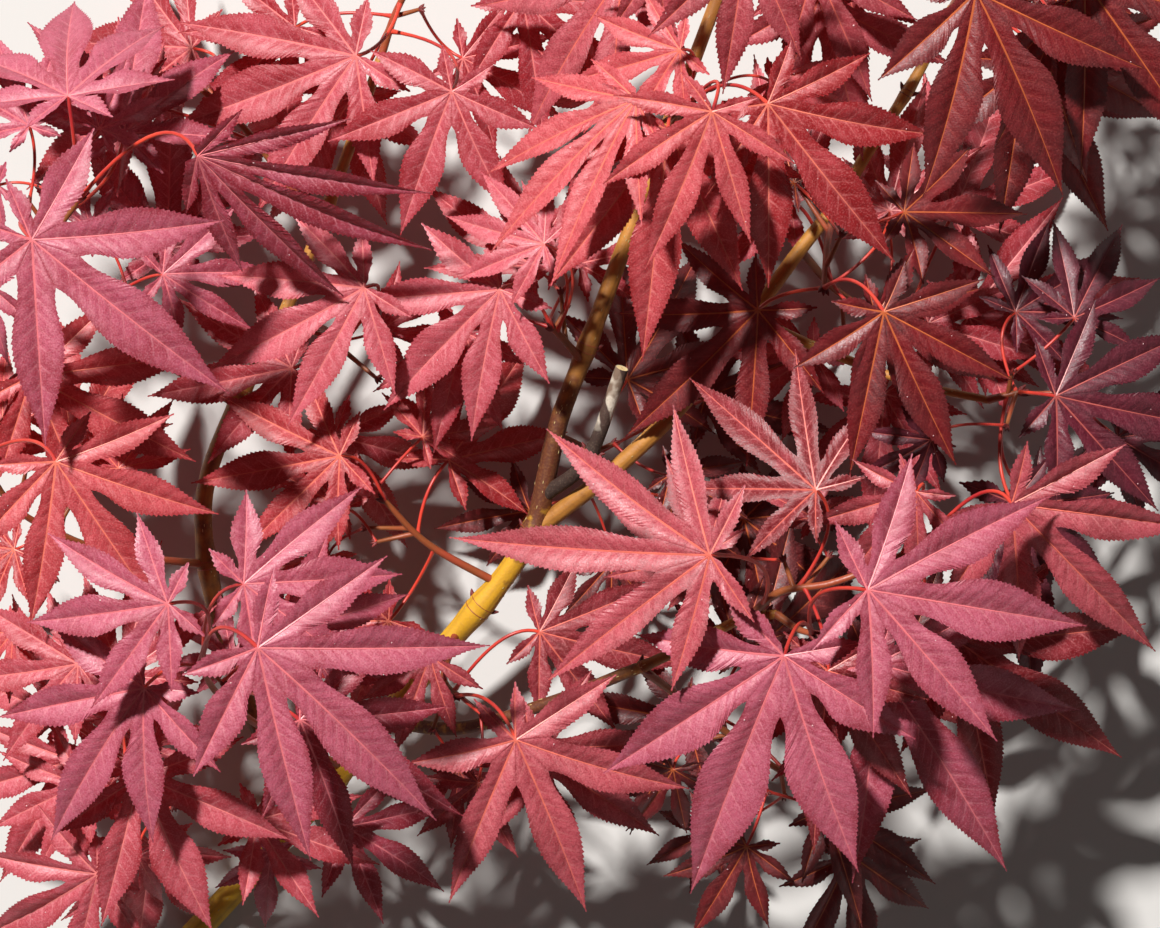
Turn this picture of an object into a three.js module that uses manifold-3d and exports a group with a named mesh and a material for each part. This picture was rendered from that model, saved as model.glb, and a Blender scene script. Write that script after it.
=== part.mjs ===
// A cut, leafy branch of a red-leaved Japanese maple, lying on a floor.
// Millimetres, +Z up, floor at z = 0. +X is right and +Y is up as the branch is seen from straight above.
import * as THREE from "three";
import { mergeVertices } from "three/addons/utils/BufferGeometryUtils.js";
import Module from "manifold-3d";

const wasm = await Module();
wasm.setup();

// Driving dimensions

// Places are given as they look from an eye this far above the focus level, and asSeen makes them real places
const EYE_DISTANCE = 1000;
const FOCUS_LEVEL = 110;

// The box that every leaf keeps to, as half sizes across and as a height
const REACH_X = 172;
const REACH_Y = 146;
const REACH_Z = 152;

// Clear room between solids where one stands on another, between blades, and round stalks and limbs
const SEAT_GAP = 0.3;
const LEAF_GAP = 3;
const STALK_GAP = 2;
const LIMB_GAP = 1.5;

// A node on a limb: share of the limb's length over which it swells, and how much thicker it is
const SWELLING_REACH = 0.018;
const SWELLING_RISE = 0.22;

// A leaf's lobes from the middle one outwards: turn in degrees, length and half width as shares of the leaf
const HALF_FAN = [
  [0, 1, 0.128],
  [36, 0.84, 0.108],
  [76, 0.56, 0.084],
  [121, 0.3, 0.052],
];
const WIDEST = 0.46; // share of a lobe's length where it is widest
const TAPER = 0.74; // and where it has narrowed
const TAPER_WIDTH = 0.62;
const MIDWAY = 0.92; // how near a lobe's edge comes to the line midway to the next lobe
const NOTCH = 0.23; // how far out the notch between two lobes is
const HEEL = 0.05; // the same for the notch over the leaf stalk
const DROOP = 0.16; // how far a lobe's tip falls below the leaf's plane
const FOLD = 0.22; // rise of a lobe's edge for each millimetre away from its rib
const RIB_DEPTH = 1.5;
const KEEL_END = 1.1; // share of a lobe's length at which its rib would run out to nothing
const TIP_REST = 1.2; // lowest level of a blade that lies on the floor
const FINEST = 0.04; // detail below this size is dropped where leaves, stalks and shoots join

// How far each lobe strays from the leaf's plan: shares of its length, width and droop, and degrees
const STRAY = { length: 0.07, turn: 3, width: 0.08, bend: 0.06, droop: 0.3 };

const STALK_RADIUS = 0.62;
const STALK_FLARE = 0.3; // how much thicker it is at the shoot
const STALK_BACK = 0.3; // where it bends up to the blade, as shares of its run: behind the foot, and below it
const STALK_DOWN = 0.4;
const STALK_SIDES = 3;
const STALK_STEPS = 3;
const SHOOT_SIDES = 5;
const SHOOT_STEPS = 3; // for each place that the shoot passes through
const SHOOT_RADIUS = [1.15, 0.75];

// Limbs: the stretch they grow from, the places they pass through, radius at the foot and at the end
const LIMBS = [
  {
    name: "main_stem",
    path: [
      [-97, -118, 3.4], [-73, -92, 12], [-57, -74, 20], [-33, -44, 33], [-18, -28, 41], [-10, -16, 46],
      [-8.5, -3, 50], [-6, 12, 54], [1, 25, 58], [10, 53, 64], [17.5, 71, 67], [27, 97, 70], [36, 121, 72],
    ],
    radius: [3.6, 1.7],
    swellings: [0.13, 0.3, 0.41, 0.67, 0.88],
    sides: 10,
    steps: 36,
  },
  {
    name: "bough_right",
    from: ["main_stem", 0.42],
    path: [
      [9, -1, 54], [26.5, 16, 58], [42, 36, 59], [55, 53.5, 58], [64, 65, 57], [72, 78, 57], [83, 95, 58],
      [93, 114, 60],
    ],
    radius: [2.4, 1.3],
    swellings: [0.36, 0.62, 0.86],
    sides: 8,
    steps: 20,
  },
  {
    name: "cut_stub",
    from: ["main_stem", 0.47],
    path: [[2, 1.5, 60], [10.5, 24, 70]],
    radius: [2.0, 1.75],
    swellings: [0.55],
    sides: 8,
    steps: 4,
  },
  {
    name: "bough_left",
    from: ["main_stem", 0.11],
    path: [
      [-82, -62, 22], [-91, -36, 28], [-94, -9, 32], [-86, 15, 36], [-76, 33, 40], [-67, 54, 44],
      [-58, 78, 48], [-50, 101, 52],
    ],
    radius: [3.0, 1.3],
    swellings: [0.3, 0.52, 0.8],
    sides: 8,
    steps: 20,
  },
  {
    name: "bough_low_right",
    from: ["main_stem", 0.195],
    path: [
      [-30, -66, 40], [-7, -59.5, 55], [12, -52, 66], [16, -50.5, 68], [30, -44, 74], [41, -38.5, 79],
      [49, -37.5, 83],
    ],
    radius: [1.9, 1.15],
    swellings: [0.57, 0.97],
    sides: 8,
    steps: 16,
  },
  {
    name: "bough_far_right",
    from: ["bough_right", 0.38],
    path: [[62, 28, 58], [84, 20, 62], [102, 16, 66]],
    radius: [1.4, 1.0],
    swellings: [0.6],
    sides: 7,
    steps: 8,
  },
];

// Sprays of leaves. A leaf's row: where its stalk leaves the shoot, the foot of its blade (x, y, z), its
// heading from +X towards +Y, length, dip of the middle lobe and roll in degrees, then its fan and breadth
// where they differ from 1. Beside these, "more" leaves follow the seeded rule, headed round "outward".
const SPRAYS = [
  {
    name: "spray_low_left_front",
    tint: "mauve",
    from: ["main_stem", 0.16],
    shoot: [[-76, -68, 44], [-90, -58, 68], [-95, -50, 98]],
    leaves: [
      [1.0, -80.5, -46, 140, -40, 66, 12, 0],
      [1.0, -103, -35, 132, 192, 41, 12, 0, 1.05, 1.1],
      [0.9, -84, -30, 116, 5, 43, 8, 0, 1.1, 1.15],
      [0.95, -109, -56, 116, 230, 50, 15, 0, 1.05, 1.1],
      [0.6, -70, -64, 104, -34, 50, 15, 0],
    ],
    more: 0,
    outward: 200,
  },
  {
    name: "spray_low_left_back",
    tint: "rose",
    from: ["main_stem", 0.08],
    shoot: [[-88, -88, 36], [-100, -82, 58], [-108, -74, 74]],
    leaves: [
      [1.0, -110, -78, 95, -66, 48, 12, 0, 1.1, 1.1],
      [0.9, -125.5, -50, 88, 188, 40, 12, 0],
      [1.0, -127, -74, 60, 236, 46, 15, 0],
    ],
    more: 2,
    outward: 215,
  },
  {
    name: "spray_left",
    tint: "coral",
    from: ["bough_left", 0.3],
    shoot: [[-118, -22, 52], [-140, -12, 70], [-150, 2, 84]],
    leaves: [
      [1.0, -131, 0.5, 106, -60, 55, 12, 0],
      [1.0, -137, 22, 84, -33, 52, 15, 0],
    ],
    more: 3,
    outward: 170,
  },
  {
    name: "spray_upper_left",
    tint: "mauve",
    from: ["bough_left", 0.5],
    shoot: [[-108, 28, 56], [-126, 44, 78], [-131, 56, 90], [-125.5, 66, 95]],
    leaves: [
      [1.0, -128, 92, 114, 98, 50, 48, 0, 1.1, 1.15],
      [1.0, -95.5, 77, 120, -27, 67, 12, 40, 0.65, 0.8],
      [0.8, -137, 56, 130, -42, 58, 8, 0, 1.3, 1.15],
    ],
    more: 2,
    outward: 120,
  },
  {
    name: "spray_top_left",
    tint: "rose",
    from: ["bough_left", 1],
    shoot: [[-46, 113, 56], [-40, 124, 62]],
    leaves: [
      [0.3, -32, 93, 84, 245, 42, 12, 0, 1.2, 1.15],
      [0.6, -56, 102, 72, 200, 57, 10, 0, 1, 1.1],
    ],
    more: 3,
    outward: 110,
  },
  {
    name: "spray_top_left_back",
    tint: "rose",
    from: ["bough_left", 0.78],
    shoot: [[-84, 84, 52], [-100, 98, 58]],
    leaves: [[1.0, -97, 104, 30, 172, 48, 26, 0]],
    more: 2,
    outward: 150,
  },
  {
    name: "spray_upper_inner",
    tint: "rose",
    from: ["bough_left", 0.57],
    shoot: [[-66, 34, 52], [-60, 29, 60]],
    leaves: [
      [1.0, -54, 44, 84, 208, 50, 10, 0],
      [0.7, -72, 24, 56, 190, 44, 8, 0],
    ],
    more: 1,
    outward: 250,
  },
  {
    name: "spray_centre_left",
    tint: "rose",
    from: ["main_stem", 0.667],
    shoot: [[-4, 31, 66], [-7, 34, 70]],
    leaves: [
      [1.0, -20, 43.5, 86, 222, 48, 12, 0, 1.0, 1.1],
      [0.8, -9, 55, 95, 165, 31, 15, 0],
      [1.0, -29, 33, 72, 255, 34, 15, 0],
    ],
    more: 1,
    outward: 190,
  },
  {
    name: "spray_inner_left",
    tint: "coral",
    from: ["main_stem", 0.32],
    shoot: [[-38, -20, 46], [-49, -9, 52]],
    leaves: [[1.0, -60, 2, 62, 190, 44, 8, 0]],
    more: 2,
    outward: 160,
  },
  {
    name: "spray_low_centre",
    tint: "crimson",
    from: ["main_stem", 0.26],
    shoot: [[-34, -53, 50], [-31, -58, 58]],
    leaves: [
      [1.0, -16, -69, 92, -66, 54, 10, 0, 1.3, 1.1],
      [0.6, -37.5, -48, 74, 250, 28, 10, 0],
      [0.9, -10, -42, 49, -15, 42, 10, 0],
    ],
    more: 1,
    outward: -80,
  },
  {
    name: "spray_top_centre",
    tint: "coral",
    from: ["main_stem", 0.878],
    shoot: [[25, 88, 84], [26, 89, 100]],
    leaves: [
      [1.0, 14, 91, 130, 221, 56, 10, 25, 0.68, 0.9],
      [1.0, 33, 88, 142, 250, 41, 15, 0, 1.05],
      [0.8, 22, 83.5, 120, -95, 58, 12, 0, 0.9, 1.1],
      [0.9, 47, 90, 128, -50, 53, 15, 0, 1, 1.1],
      [0.9, 25, 103.5, 108, 197, 32, 20, 0],
    ],
    more: 0,
    outward: 90,
  },
  {
    name: "spray_tip",
    tint: "crimson",
    from: ["main_stem", 1],
    shoot: [[40, 130, 84], [42, 136, 96]],
    leaves: [[1.0, 42, 131, 132, -98, 42, 15, 0]],
    more: 3,
    outward: 90,
  },
  {
    name: "spray_top_right",
    tint: "maroon",
    from: ["bough_right", 1],
    shoot: [[97, 121, 78], [100, 126, 98]],
    leaves: [
      [1.0, 99, 118, 134, -60, 61, 12, 0, 1, 1.1],
      [0.9, 126, 121, 118, -50, 56, 15, 0],
    ],
    more: 3,
    outward: 50,
  },
  {
    name: "spray_mid_right",
    tint: "maroon",
    from: ["bough_right", 0.63],
    shoot: [[62, 56, 74], [61, 44, 84]],
    leaves: [
      [1.0, 76, 38, 119, -64, 48, 12, 0, 1.05],
      [1.0, 44.5, 38.5, 80, 228, 48, 14, 0, 1.1],
    ],
    more: 1,
    outward: 0,
  },
  {
    name: "spray_right",
    tint: "mauve",
    from: ["bough_low_right", 1],
    shoot: [[54, -41, 87], [58, -42.5, 91]],
    leaves: [
      [1.0, 72, -31.5, 134, -8, 64, 10, 0, 1.05, 1.05],
      [1.0, 51, -48, 124, -110, 69, 15, 0, 1, 1.2],
      [1.0, 74, -50, 100, -52, 69, 12, 0],
    ],
    more: 0,
    outward: -30,
  },
  {
    name: "spray_right_outer",
    tint: "crimson",
    from: ["bough_low_right", 0.88],
    shoot: [[50, -32, 89], [62, -30, 94], [73, -26, 96], [86, -20, 98]],
    leaves: [
      [0.12, 32.5, -22.8, 131, 181, 64, 12, 0],
      [0.35, 59, -6.5, 104, 140, 45, 18, 0, 1.05],
      [0.9, 84, -7, 112, 235, 34, 25, 0],
      [1.0, 108, -10, 112, -42, 60, 15, 20],
      [1.0, 94, -44, 88, -38, 62, 15, 0],
    ],
    more: 1,
    outward: 0,
  },
  {
    name: "spray_far_right",
    tint: "purple",
    from: ["bough_far_right", 1],
    shoot: [[110, 18, 69]],
    leaves: [
      [1.0, 119, 17, 82, -10, 50, 12, 0],
      [0.9, 109, 38, 62, 35, 34, 10, 0],
    ],
    more: 2,
    outward: 20,
  },
  {
    name: "spray_low_right",
    tint: "maroon",
    from: ["bough_low_right", 0.55],
    shoot: [[30, -62, 52], [46, -74, 42], [62, -84, 34]],
    leaves: [[0.8, 27, -64, 37, 205, 42, 10, 0]],
    more: 3,
    outward: -50,
  },
  {
    name: "spray_back_centre",
    tint: "maroon",
    from: ["main_stem", 0.56],
    shoot: [[4, 2, 36], [14, -8, 24]],
    leaves: [],
    more: 3,
    outward: -60,
  },
  {
    name: "spray_back_right",
    tint: "rose",
    from: ["bough_right", 0.5],
    shoot: [[66, 42, 42], [82, 36, 28]],
    leaves: [[1.0, 93, 62, 20, 62, 52, 22, 0]],
    more: 3,
    outward: 10,
  },
];

// The seeded rule's leaves: ranges of sizes in millimetres, and of angles in degrees
const SEED = 20;
const TRIES = 40;
const RULE = {
  share: [0.35, 1],
  swing: [-130, 130],
  climb: [-35, 40],
  stalk: [22, 36],
  twist: [-35, 35],
  length: [38, 56],
  dip: [4, 26],
  roll: [-20, 20],
  fan: 1.05,
  breadth: 1.05,
};
const LOWEST_FOOT = 8; // level of a blade's foot
const LOWEST_TIP = -4; // how far a tip may be bent up by the floor
const MOST_RESTING = 4; // places of a blade that may lie on the floor

// Places that are tested for clear room: shares along a lobe, then how many on a stalk, limb and shoot
const LOBE_TESTS = [0.3, 0.5, 0.7, 0.85, 1];
const STALK_TESTS = 12;
const LIMB_TESTS = 60;
const SHOOT_TESTS = 24;
const STALK_STRETCH = [0.2, 0.915]; // the stretch of a stalk that is tested
const BLADE_MARGIN = 1.5; // room beside a blade, in its own plane

// Strides between the seeds of sprays and leaves
const SPRAY_SEED = 104729;
const LEAF_SEED = 7919;
const SPRAY_SERIAL = 1000;
const RULE_SERIAL = 100;

const WOOD = { color: 0x6b5a22, roughness: 0.6, metalness: 0 };
const STUB_WOOD = { color: 0x8d867c, roughness: 0.85, metalness: 0 };
const LEAF_TINTS = {
  mauve: { color: 0xab5464, roughness: 0.5, metalness: 0 },
  rose: { color: 0xb85c6c, roughness: 0.5, metalness: 0 },
  coral: { color: 0xb04450, roughness: 0.5, metalness: 0 },
  crimson: { color: 0x93303f, roughness: 0.5, metalness: 0 },
  maroon: { color: 0x6d1a28, roughness: 0.5, metalness: 0 },
  purple: { color: 0x5a1c33, roughness: 0.5, metalness: 0 },
};

// Small helpers

const radians = THREE.MathUtils.degToRad;

// The same draws in any language: a whole number times 16807, kept below 2^31 - 1
function dice(seed) {
  let state = seed;
  return () => {
    state = (state * 16807) % 2147483647;
    return state / 2147483647;
  };
}

function between([low, high], share) {
  return low + (high - low) * share;
}

function stray(amount, drawn) {
  return amount * (2 * drawn - 1);
}

function spreadAt(level) {
  return 1 + (FOCUS_LEVEL - level) / EYE_DISTANCE;
}

function asSeen([x, y, z]) {
  return new THREE.Vector3(x * spreadAt(z), y * spreadAt(z), z);
}

function curveThrough(points) {
  return new THREE.CatmullRomCurve3(points, false, "catmullrom", 0.5);
}

// Solids and geometries

function solidOf(positions, faces) {
  const geometry = new THREE.BufferGeometry();
  geometry.setAttribute("position", new THREE.Float32BufferAttribute(positions, 3));
  geometry.setIndex(faces);
  const merged = mergeVertices(geometry, 1e-4);
  return new wasm.Manifold(
    new wasm.Mesh({
      numProp: 3,
      vertProperties: merged.attributes.position.array,
      triVerts: new Uint32Array(merged.index.array),
    }),
  );
}

function geometryOf(solid) {
  const mesh = solid.getMesh();
  const geometry = new THREE.BufferGeometry();
  geometry.setAttribute("position", new THREE.BufferAttribute(mesh.vertProperties, 3));
  geometry.setIndex(new THREE.BufferAttribute(mesh.triVerts, 1));
  geometry.computeVertexNormals();
  return geometry;
}

// A closed tube along a curve, with a radius that changes on the way and flat ends square to it, which it can
// overrun a little
function rod(curve, radiusAt, sides, steps, overrun = 0) {
  const positions = [];
  const faces = [];
  const side = new THREE.Vector3();
  const turned = new THREE.Vector3();
  let tangent = curve.getTangent(0);
  const upright = Math.abs(tangent.z) > 0.9;
  side.crossVectors(tangent, upright ? new THREE.Vector3(1, 0, 0) : new THREE.Vector3(0, 0, 1));
  for (let ring = 0; ring <= steps; ring++) {
    const share = ring / steps;
    tangent = curve.getTangent(share);
    const past = ring === 0 ? -overrun : ring === steps ? overrun : 0;
    const centre = curve.getPoint(share).addScaledVector(tangent, past);
    side.addScaledVector(tangent, -side.dot(tangent)).normalize();
    const radius = radiusAt(share);
    for (let i = 0; i < sides; i++) {
      turned.copy(side).applyAxisAngle(tangent, (i / sides) * 2 * Math.PI);
      positions.push(...centre.clone().addScaledVector(turned, radius).toArray());
    }
  }
  for (let ring = 0; ring < steps; ring++)
    for (let i = 0; i < sides; i++) {
      const a = ring * sides + i;
      const b = ring * sides + ((i + 1) % sides);
      faces.push(a, b, b + sides, a, b + sides, a + sides);
    }
  const last = steps * sides;
  for (let i = 1; i < sides - 1; i++) {
    faces.push(0, i + 1, i);
    faces.push(last, last + i, last + i + 1);
  }
  return solidOf(positions, faces);
}

// Limbs

function limbRadius(limb) {
  return (share) => {
    const rises = limb.swellings.map((at) => Math.exp(-(((share - at) / SWELLING_REACH) ** 2)));
    const bulge = rises.reduce((sum, rise) => sum + rise, 0);
    return between(limb.radius, share) * (1 + SWELLING_RISE * bulge);
  };
}

const limbs = new Map();
for (const limb of LIMBS) {
  const places = limb.path.map(asSeen);
  if (limb.from) places.unshift(limbs.get(limb.from[0]).curve.getPoint(limb.from[1]));
  limbs.set(limb.name, { ...limb, curve: curveThrough(places), radiusAt: limbRadius(limb) });
}

function limbSolid(limb, room = 0) {
  return rod(limb.curve, (share) => limb.radiusAt(share) + room, limb.sides, limb.steps, room);
}

// Leaves

// A leaf's own frame and lobes. Each leaf has its own dice, so no two are alike.
function makeLeaf(serial, x, y, z, heading, length, dip, roll, fan = 1, breadth = 1) {
  const draw = dice(SEED + LEAF_SEED * serial);
  draw();
  const h = radians(heading);
  const p = radians(dip);
  const r = radians(roll);
  const along = new THREE.Vector3(Math.cos(h) * Math.cos(p), Math.sin(h) * Math.cos(p), -Math.sin(p));
  const level = new THREE.Vector3(-Math.sin(h), Math.cos(h), 0);
  const rise = new THREE.Vector3().crossVectors(along, level);
  const across = level.clone().multiplyScalar(Math.cos(r)).addScaledVector(rise, Math.sin(r));
  const up = new THREE.Vector3().crossVectors(along, across);
  const lobes = [];
  for (let i = -3; i <= 3; i++) {
    const [turn, share, width] = HALF_FAN[Math.abs(i)];
    const reach = length * share * (1 + stray(STRAY.length, draw()));
    lobes.push({
      turn: radians(Math.sign(i) * turn * fan + stray(STRAY.turn, draw())),
      length: reach,
      width: length * width * breadth * (1 + stray(STRAY.width, draw())),
      bend: reach * stray(STRAY.bend, draw()),
      droop: DROOP * (1 + stray(STRAY.droop, draw())),
    });
  }
  return { foot: asSeen([x, y, z]), along, across, up, length, lobes };
}

// A place on a leaf's upper face: u towards the middle lobe's tip, v to its left, lifted off the plane
function onLeaf(leaf, u, v, lift) {
  const place = leaf.foot.clone();
  place.addScaledVector(leaf.along, u).addScaledVector(leaf.across, v).addScaledVector(leaf.up, lift);
  return place;
}

// A place on one lobe: share of its length, distance off its rib to the left, and lift
function onLobe(leaf, lobe, share, off, lift) {
  const out = share * lobe.length;
  const aside = off + lobe.bend * share * share;
  const u = out * Math.cos(lobe.turn) - aside * Math.sin(lobe.turn);
  const v = out * Math.sin(lobe.turn) + aside * Math.cos(lobe.turn);
  const fall = (lobe.droop * out * out) / leaf.length;
  return onLeaf(leaf, u, v, lift - fall + FOLD * Math.abs(off));
}

function notchBetween(leaf, left, right) {
  const turn = (left.turn + right.turn) / 2;
  const out = NOTCH * Math.sqrt(left.length * right.length);
  const fall = (0.5 * (left.droop + right.droop) * out * out) / leaf.length;
  const lift = FOLD * out * Math.sin((left.turn - right.turn) / 2) - fall;
  return onLeaf(leaf, out * Math.cos(turn), out * Math.sin(turn), lift);
}

// Half width at a share of the lobe's length, kept short of the line midway to the next lobe
function halfWidth(lobe, share, gapAngle) {
  const shape = share === WIDEST ? 1 : TAPER_WIDTH;
  return Math.min(lobe.width * shape, MIDWAY * share * lobe.length * Math.tan(gapAngle / 2));
}

// Shares of a lobe's length at which its outline turns; the two outermost lobes are the plainest
function stationsOf(order, lobes) {
  return order === 0 || order === lobes.length - 1 ? [WIDEST] : [WIDEST, TAPER];
}

// The whole leaf as one closed solid. The upper face folds along each rib and the lower one is deep along the
// ribs. They meet in a sharp edge, and the stalk's last ring is stitched into the lower face.
function leafSolid(leaf, stalk) {
  const positions = [];
  const faces = [];
  const add = (place, floor) => {
    positions.push(place.x, place.y, Math.max(place.z, floor));
    return positions.length / 3 - 1;
  };
  const lobes = leaf.lobes;
  const top = add(onLeaf(leaf, 0, 0, 0), TIP_REST);
  const heel = add(onLeaf(leaf, -HEEL * leaf.length, 0, 0), TIP_REST);
  const notches = lobes.map((lobe, i) =>
    i > 0 ? add(notchBetween(leaf, lobe, lobes[i - 1]), TIP_REST) : heel,
  );
  notches.push(heel);
  const rim = [];
  const fill = (corners, turned) => faces.push(...(turned ? [corners[0], corners[2], corners[1]] : corners));

  lobes.forEach((lobe, i) => {
    const stations = stationsOf(i, lobes);
    const tip = add(onLobe(leaf, lobe, 1, 0, 0), TIP_REST);
    const rib = stations.map((share) => add(onLobe(leaf, lobe, share, 0, 0), TIP_REST));
    const keel = stations.map((share) =>
      add(onLobe(leaf, lobe, share, 0, -RIB_DEPTH * (KEEL_END - share)), 0),
    );
    rim.push({ point: notches[i], turn: i > 0 ? (lobe.turn + lobes[i - 1].turn) / 2 : -Math.PI });
    rim.push({ point: keel[0], turn: lobe.turn });
    for (const way of [1, -1]) {
      const next = lobes[i + way];
      const gapAngle = next ? Math.abs(next.turn - lobe.turn) : 1;
      const notch = notches[way > 0 ? i + 1 : i];
      const edge = stations.map((share) =>
        add(onLobe(leaf, lobe, share, way * halfWidth(lobe, share, gapAngle), 0), TIP_REST),
      );
      for (const [ribs, turned] of [[rib, way < 0], [keel, way > 0]]) {
        fill([notch, ribs[0], edge[0]], turned);
        for (let k = 1; k < stations.length; k++) {
          fill([edge[k - 1], ribs[k - 1], ribs[k]], turned);
          fill([edge[k - 1], ribs[k], edge[k]], turned);
        }
        fill([edge.at(-1), ribs.at(-1), tip], turned);
      }
      fill([top, rib[0], notch], way < 0);
    }
  });

  const rings = stalkRings(leaf, stalk).map((ring) => ring.map((place) => add(place, 0)));
  for (let k = 1; k < rings.length; k++)
    for (let i = 0; i < STALK_SIDES; i++) {
      const j = (i + 1) % STALK_SIDES;
      faces.push(rings[k - 1][i], rings[k - 1][j], rings[k][j]);
      faces.push(rings[k - 1][i], rings[k][j], rings[k][i]);
    }
  faces.push(...rings[0].toReversed());

  // Going round the lower face, each stretch of the rim joins the nearest corner of the stalk's last ring
  const last = rings.at(-1);
  const cornerTurn = (2 * Math.PI) / STALK_SIDES;
  const nearest = (turn) => (Math.round(turn / cornerTurn) + STALK_SIDES) % STALK_SIDES;
  rim.forEach((here, i) => {
    const next = rim[(i + 1) % rim.length];
    const a = nearest(here.turn);
    const b = nearest(next.turn);
    faces.push(last[a], next.point, here.point);
    if (a !== b) faces.push(last[a], last[b], next.point);
  });
  return solidOf(positions, faces);
}

// Rings of the stalk from the shoot to the blade; the last one lies level under the blade
function stalkRings(leaf, stalk) {
  const rings = [];
  const side = leaf.along.clone();
  const turned = new THREE.Vector3();
  for (let k = STALK_STEPS; k >= 0; k--) {
    const share = k / STALK_STEPS;
    const axis = k === STALK_STEPS ? leaf.up : stalk.getTangent(share);
    const centre = stalk.getPoint(share);
    side.addScaledVector(axis, -side.dot(axis)).normalize();
    const ring = [];
    for (let i = 0; i < STALK_SIDES; i++) {
      turned.copy(side).applyAxisAngle(axis, (i / STALK_SIDES) * 2 * Math.PI);
      ring.push(centre.clone().addScaledVector(turned, STALK_RADIUS * (1 + STALK_FLARE * (1 - share))));
    }
    rings.unshift(ring);
  }
  return rings;
}

// A leaf's stalk leaves the shoot and comes up under the blade from behind
function stalkCurve(start, leaf) {
  const run = start.distanceTo(leaf.foot);
  const bend = onLeaf(leaf, -STALK_BACK * run, 0, -STALK_DOWN * run);
  const end = onLeaf(leaf, 0, 0, -RIB_DEPTH);
  return new THREE.QuadraticBezierCurve3(start, bend, end);
}

// Keeping clear: places along every blade, stalk and limb are tested against the others

const placed = [];
const rods = [];

function bladePoints(leaf) {
  const points = [];
  for (const lobe of leaf.lobes)
    for (const share of LOBE_TESTS)
      for (const side of share < 1 ? [-1, 0, 1] : [0])
        points.push(onLobe(leaf, lobe, share, side * lobe.width * (1.15 - 0.9 * share), 0));
  return points;
}

function stalkPoints(curve) {
  return Array.from({ length: STALK_TESTS }, (_, i) =>
    curve.getPoint(between(STALK_STRETCH, i / (STALK_TESTS - 1))),
  );
}

// Whether a place lies within a gap of a leaf's blade
function touchesBlade(place, leaf, gap) {
  const from = place.clone().sub(leaf.foot);
  const u = from.dot(leaf.along);
  const v = from.dot(leaf.across);
  const height = from.dot(leaf.up);
  const out = Math.hypot(u, v);
  if (out > 1.1 * leaf.length) return false;
  return leaf.lobes.some((lobe) => {
    const share = (u * Math.cos(lobe.turn) + v * Math.sin(lobe.turn)) / lobe.length;
    if (share < -0.05 || share > 1.04) return false;
    const off = v * Math.cos(lobe.turn) - u * Math.sin(lobe.turn) - lobe.bend * share * share;
    const level = FOLD * Math.abs(off) - (lobe.droop * (share * lobe.length) ** 2) / leaf.length;
    const width = lobe.width * Math.min(1, 0.3 + 1.6 * share, 2.3 * (1.04 - share));
    return Math.abs(off) < width + BLADE_MARGIN && Math.abs(height - level) < gap;
  });
}

function touchesRod(place, gap) {
  return rods.some(({ centre, radius }) => place.distanceTo(centre) < radius + gap);
}

function isClear(leaf, stalk) {
  const blade = bladePoints(leaf);
  const stem = stalkPoints(stalk);
  const inside = ({ x, y }) => Math.abs(x) < REACH_X && Math.abs(y) < REACH_Y;
  if (!blade.every(inside) || leaf.foot.z < LOWEST_FOOT) return false;
  if (blade.some(({ z }) => z > REACH_Z || z < LOWEST_TIP)) return false;
  if (blade.filter(({ z }) => z < TIP_REST).length > MOST_RESTING) return false;
  if (blade.some((place) => touchesRod(place, LEAF_GAP))) return false;
  if (stem.slice(1).some((place) => touchesRod(place, LIMB_GAP))) return false;
  return placed.every(
    (other) =>
      !blade.some((place) => touchesBlade(place, other.leaf, LEAF_GAP)) &&
      !stem.some((place) => other.stem.some((spot) => place.distanceTo(spot) < STALK_GAP)) &&
      !stem.some((place) => touchesBlade(place, other.leaf, STALK_GAP)) &&
      !other.blade.some((place) => touchesBlade(place, leaf, LEAF_GAP)) &&
      !other.stem.some((place) => touchesBlade(place, leaf, STALK_GAP)),
  );
}

function keep(spray, leaf, stalk) {
  const entry = { leaf, stalk, blade: bladePoints(leaf), stem: stalkPoints(stalk) };
  placed.push(entry);
  spray.members.push(entry);
}

function markRod(curve, radiusAt, count) {
  for (let i = 0; i <= count; i++)
    rods.push({ centre: curve.getPoint(i / count), radius: radiusAt(i / count) });
}

// Growing

for (const limb of limbs.values()) markRod(limb.curve, limb.radiusAt, LIMB_TESTS);

const sprays = SPRAYS.map((spray) => {
  const limb = limbs.get(spray.from[0]);
  const foot = limb.curve.getPoint(spray.from[1]);
  const curve = curveThrough([foot, ...spray.shoot.map(asSeen)]);
  const radiusAt = (share) => between(SHOOT_RADIUS, share);
  markRod(curve, radiusAt, SHOOT_TESTS);
  return { ...spray, limb, curve, radiusAt, members: [] };
});

sprays.forEach((spray, order) => {
  spray.leaves.forEach(([share, ...row], i) => {
    const leaf = makeLeaf(SPRAY_SERIAL * (order + 1) + i, ...row);
    keep(spray, leaf, stalkCurve(spray.curve.getPoint(share), leaf));
  });
});

// One try of the seeded rule: a stalk that leaves the shoot, and the leaf at its end
function ruleLeaf(spray, serial, draw) {
  const start = spray.curve.getPoint(between(RULE.share, draw()));
  const way = spray.outward + between(RULE.swing, draw());
  const climb = radians(between(RULE.climb, draw()));
  const run = between(RULE.stalk, draw());
  const level = run * Math.cos(climb);
  const x = start.x + level * Math.cos(radians(way));
  const y = start.y + level * Math.sin(radians(way));
  const z = start.z + run * Math.sin(climb);
  const heading = way + between(RULE.twist, draw());
  const length = between(RULE.length, draw());
  const dip = between(RULE.dip, draw());
  const roll = between(RULE.roll, draw());
  const foot = [x / spreadAt(z), y / spreadAt(z), z];
  const leaf = makeLeaf(serial, ...foot, heading, length, dip, roll, RULE.fan, RULE.breadth);
  return { leaf, stalk: stalkCurve(start, leaf) };
}

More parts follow.
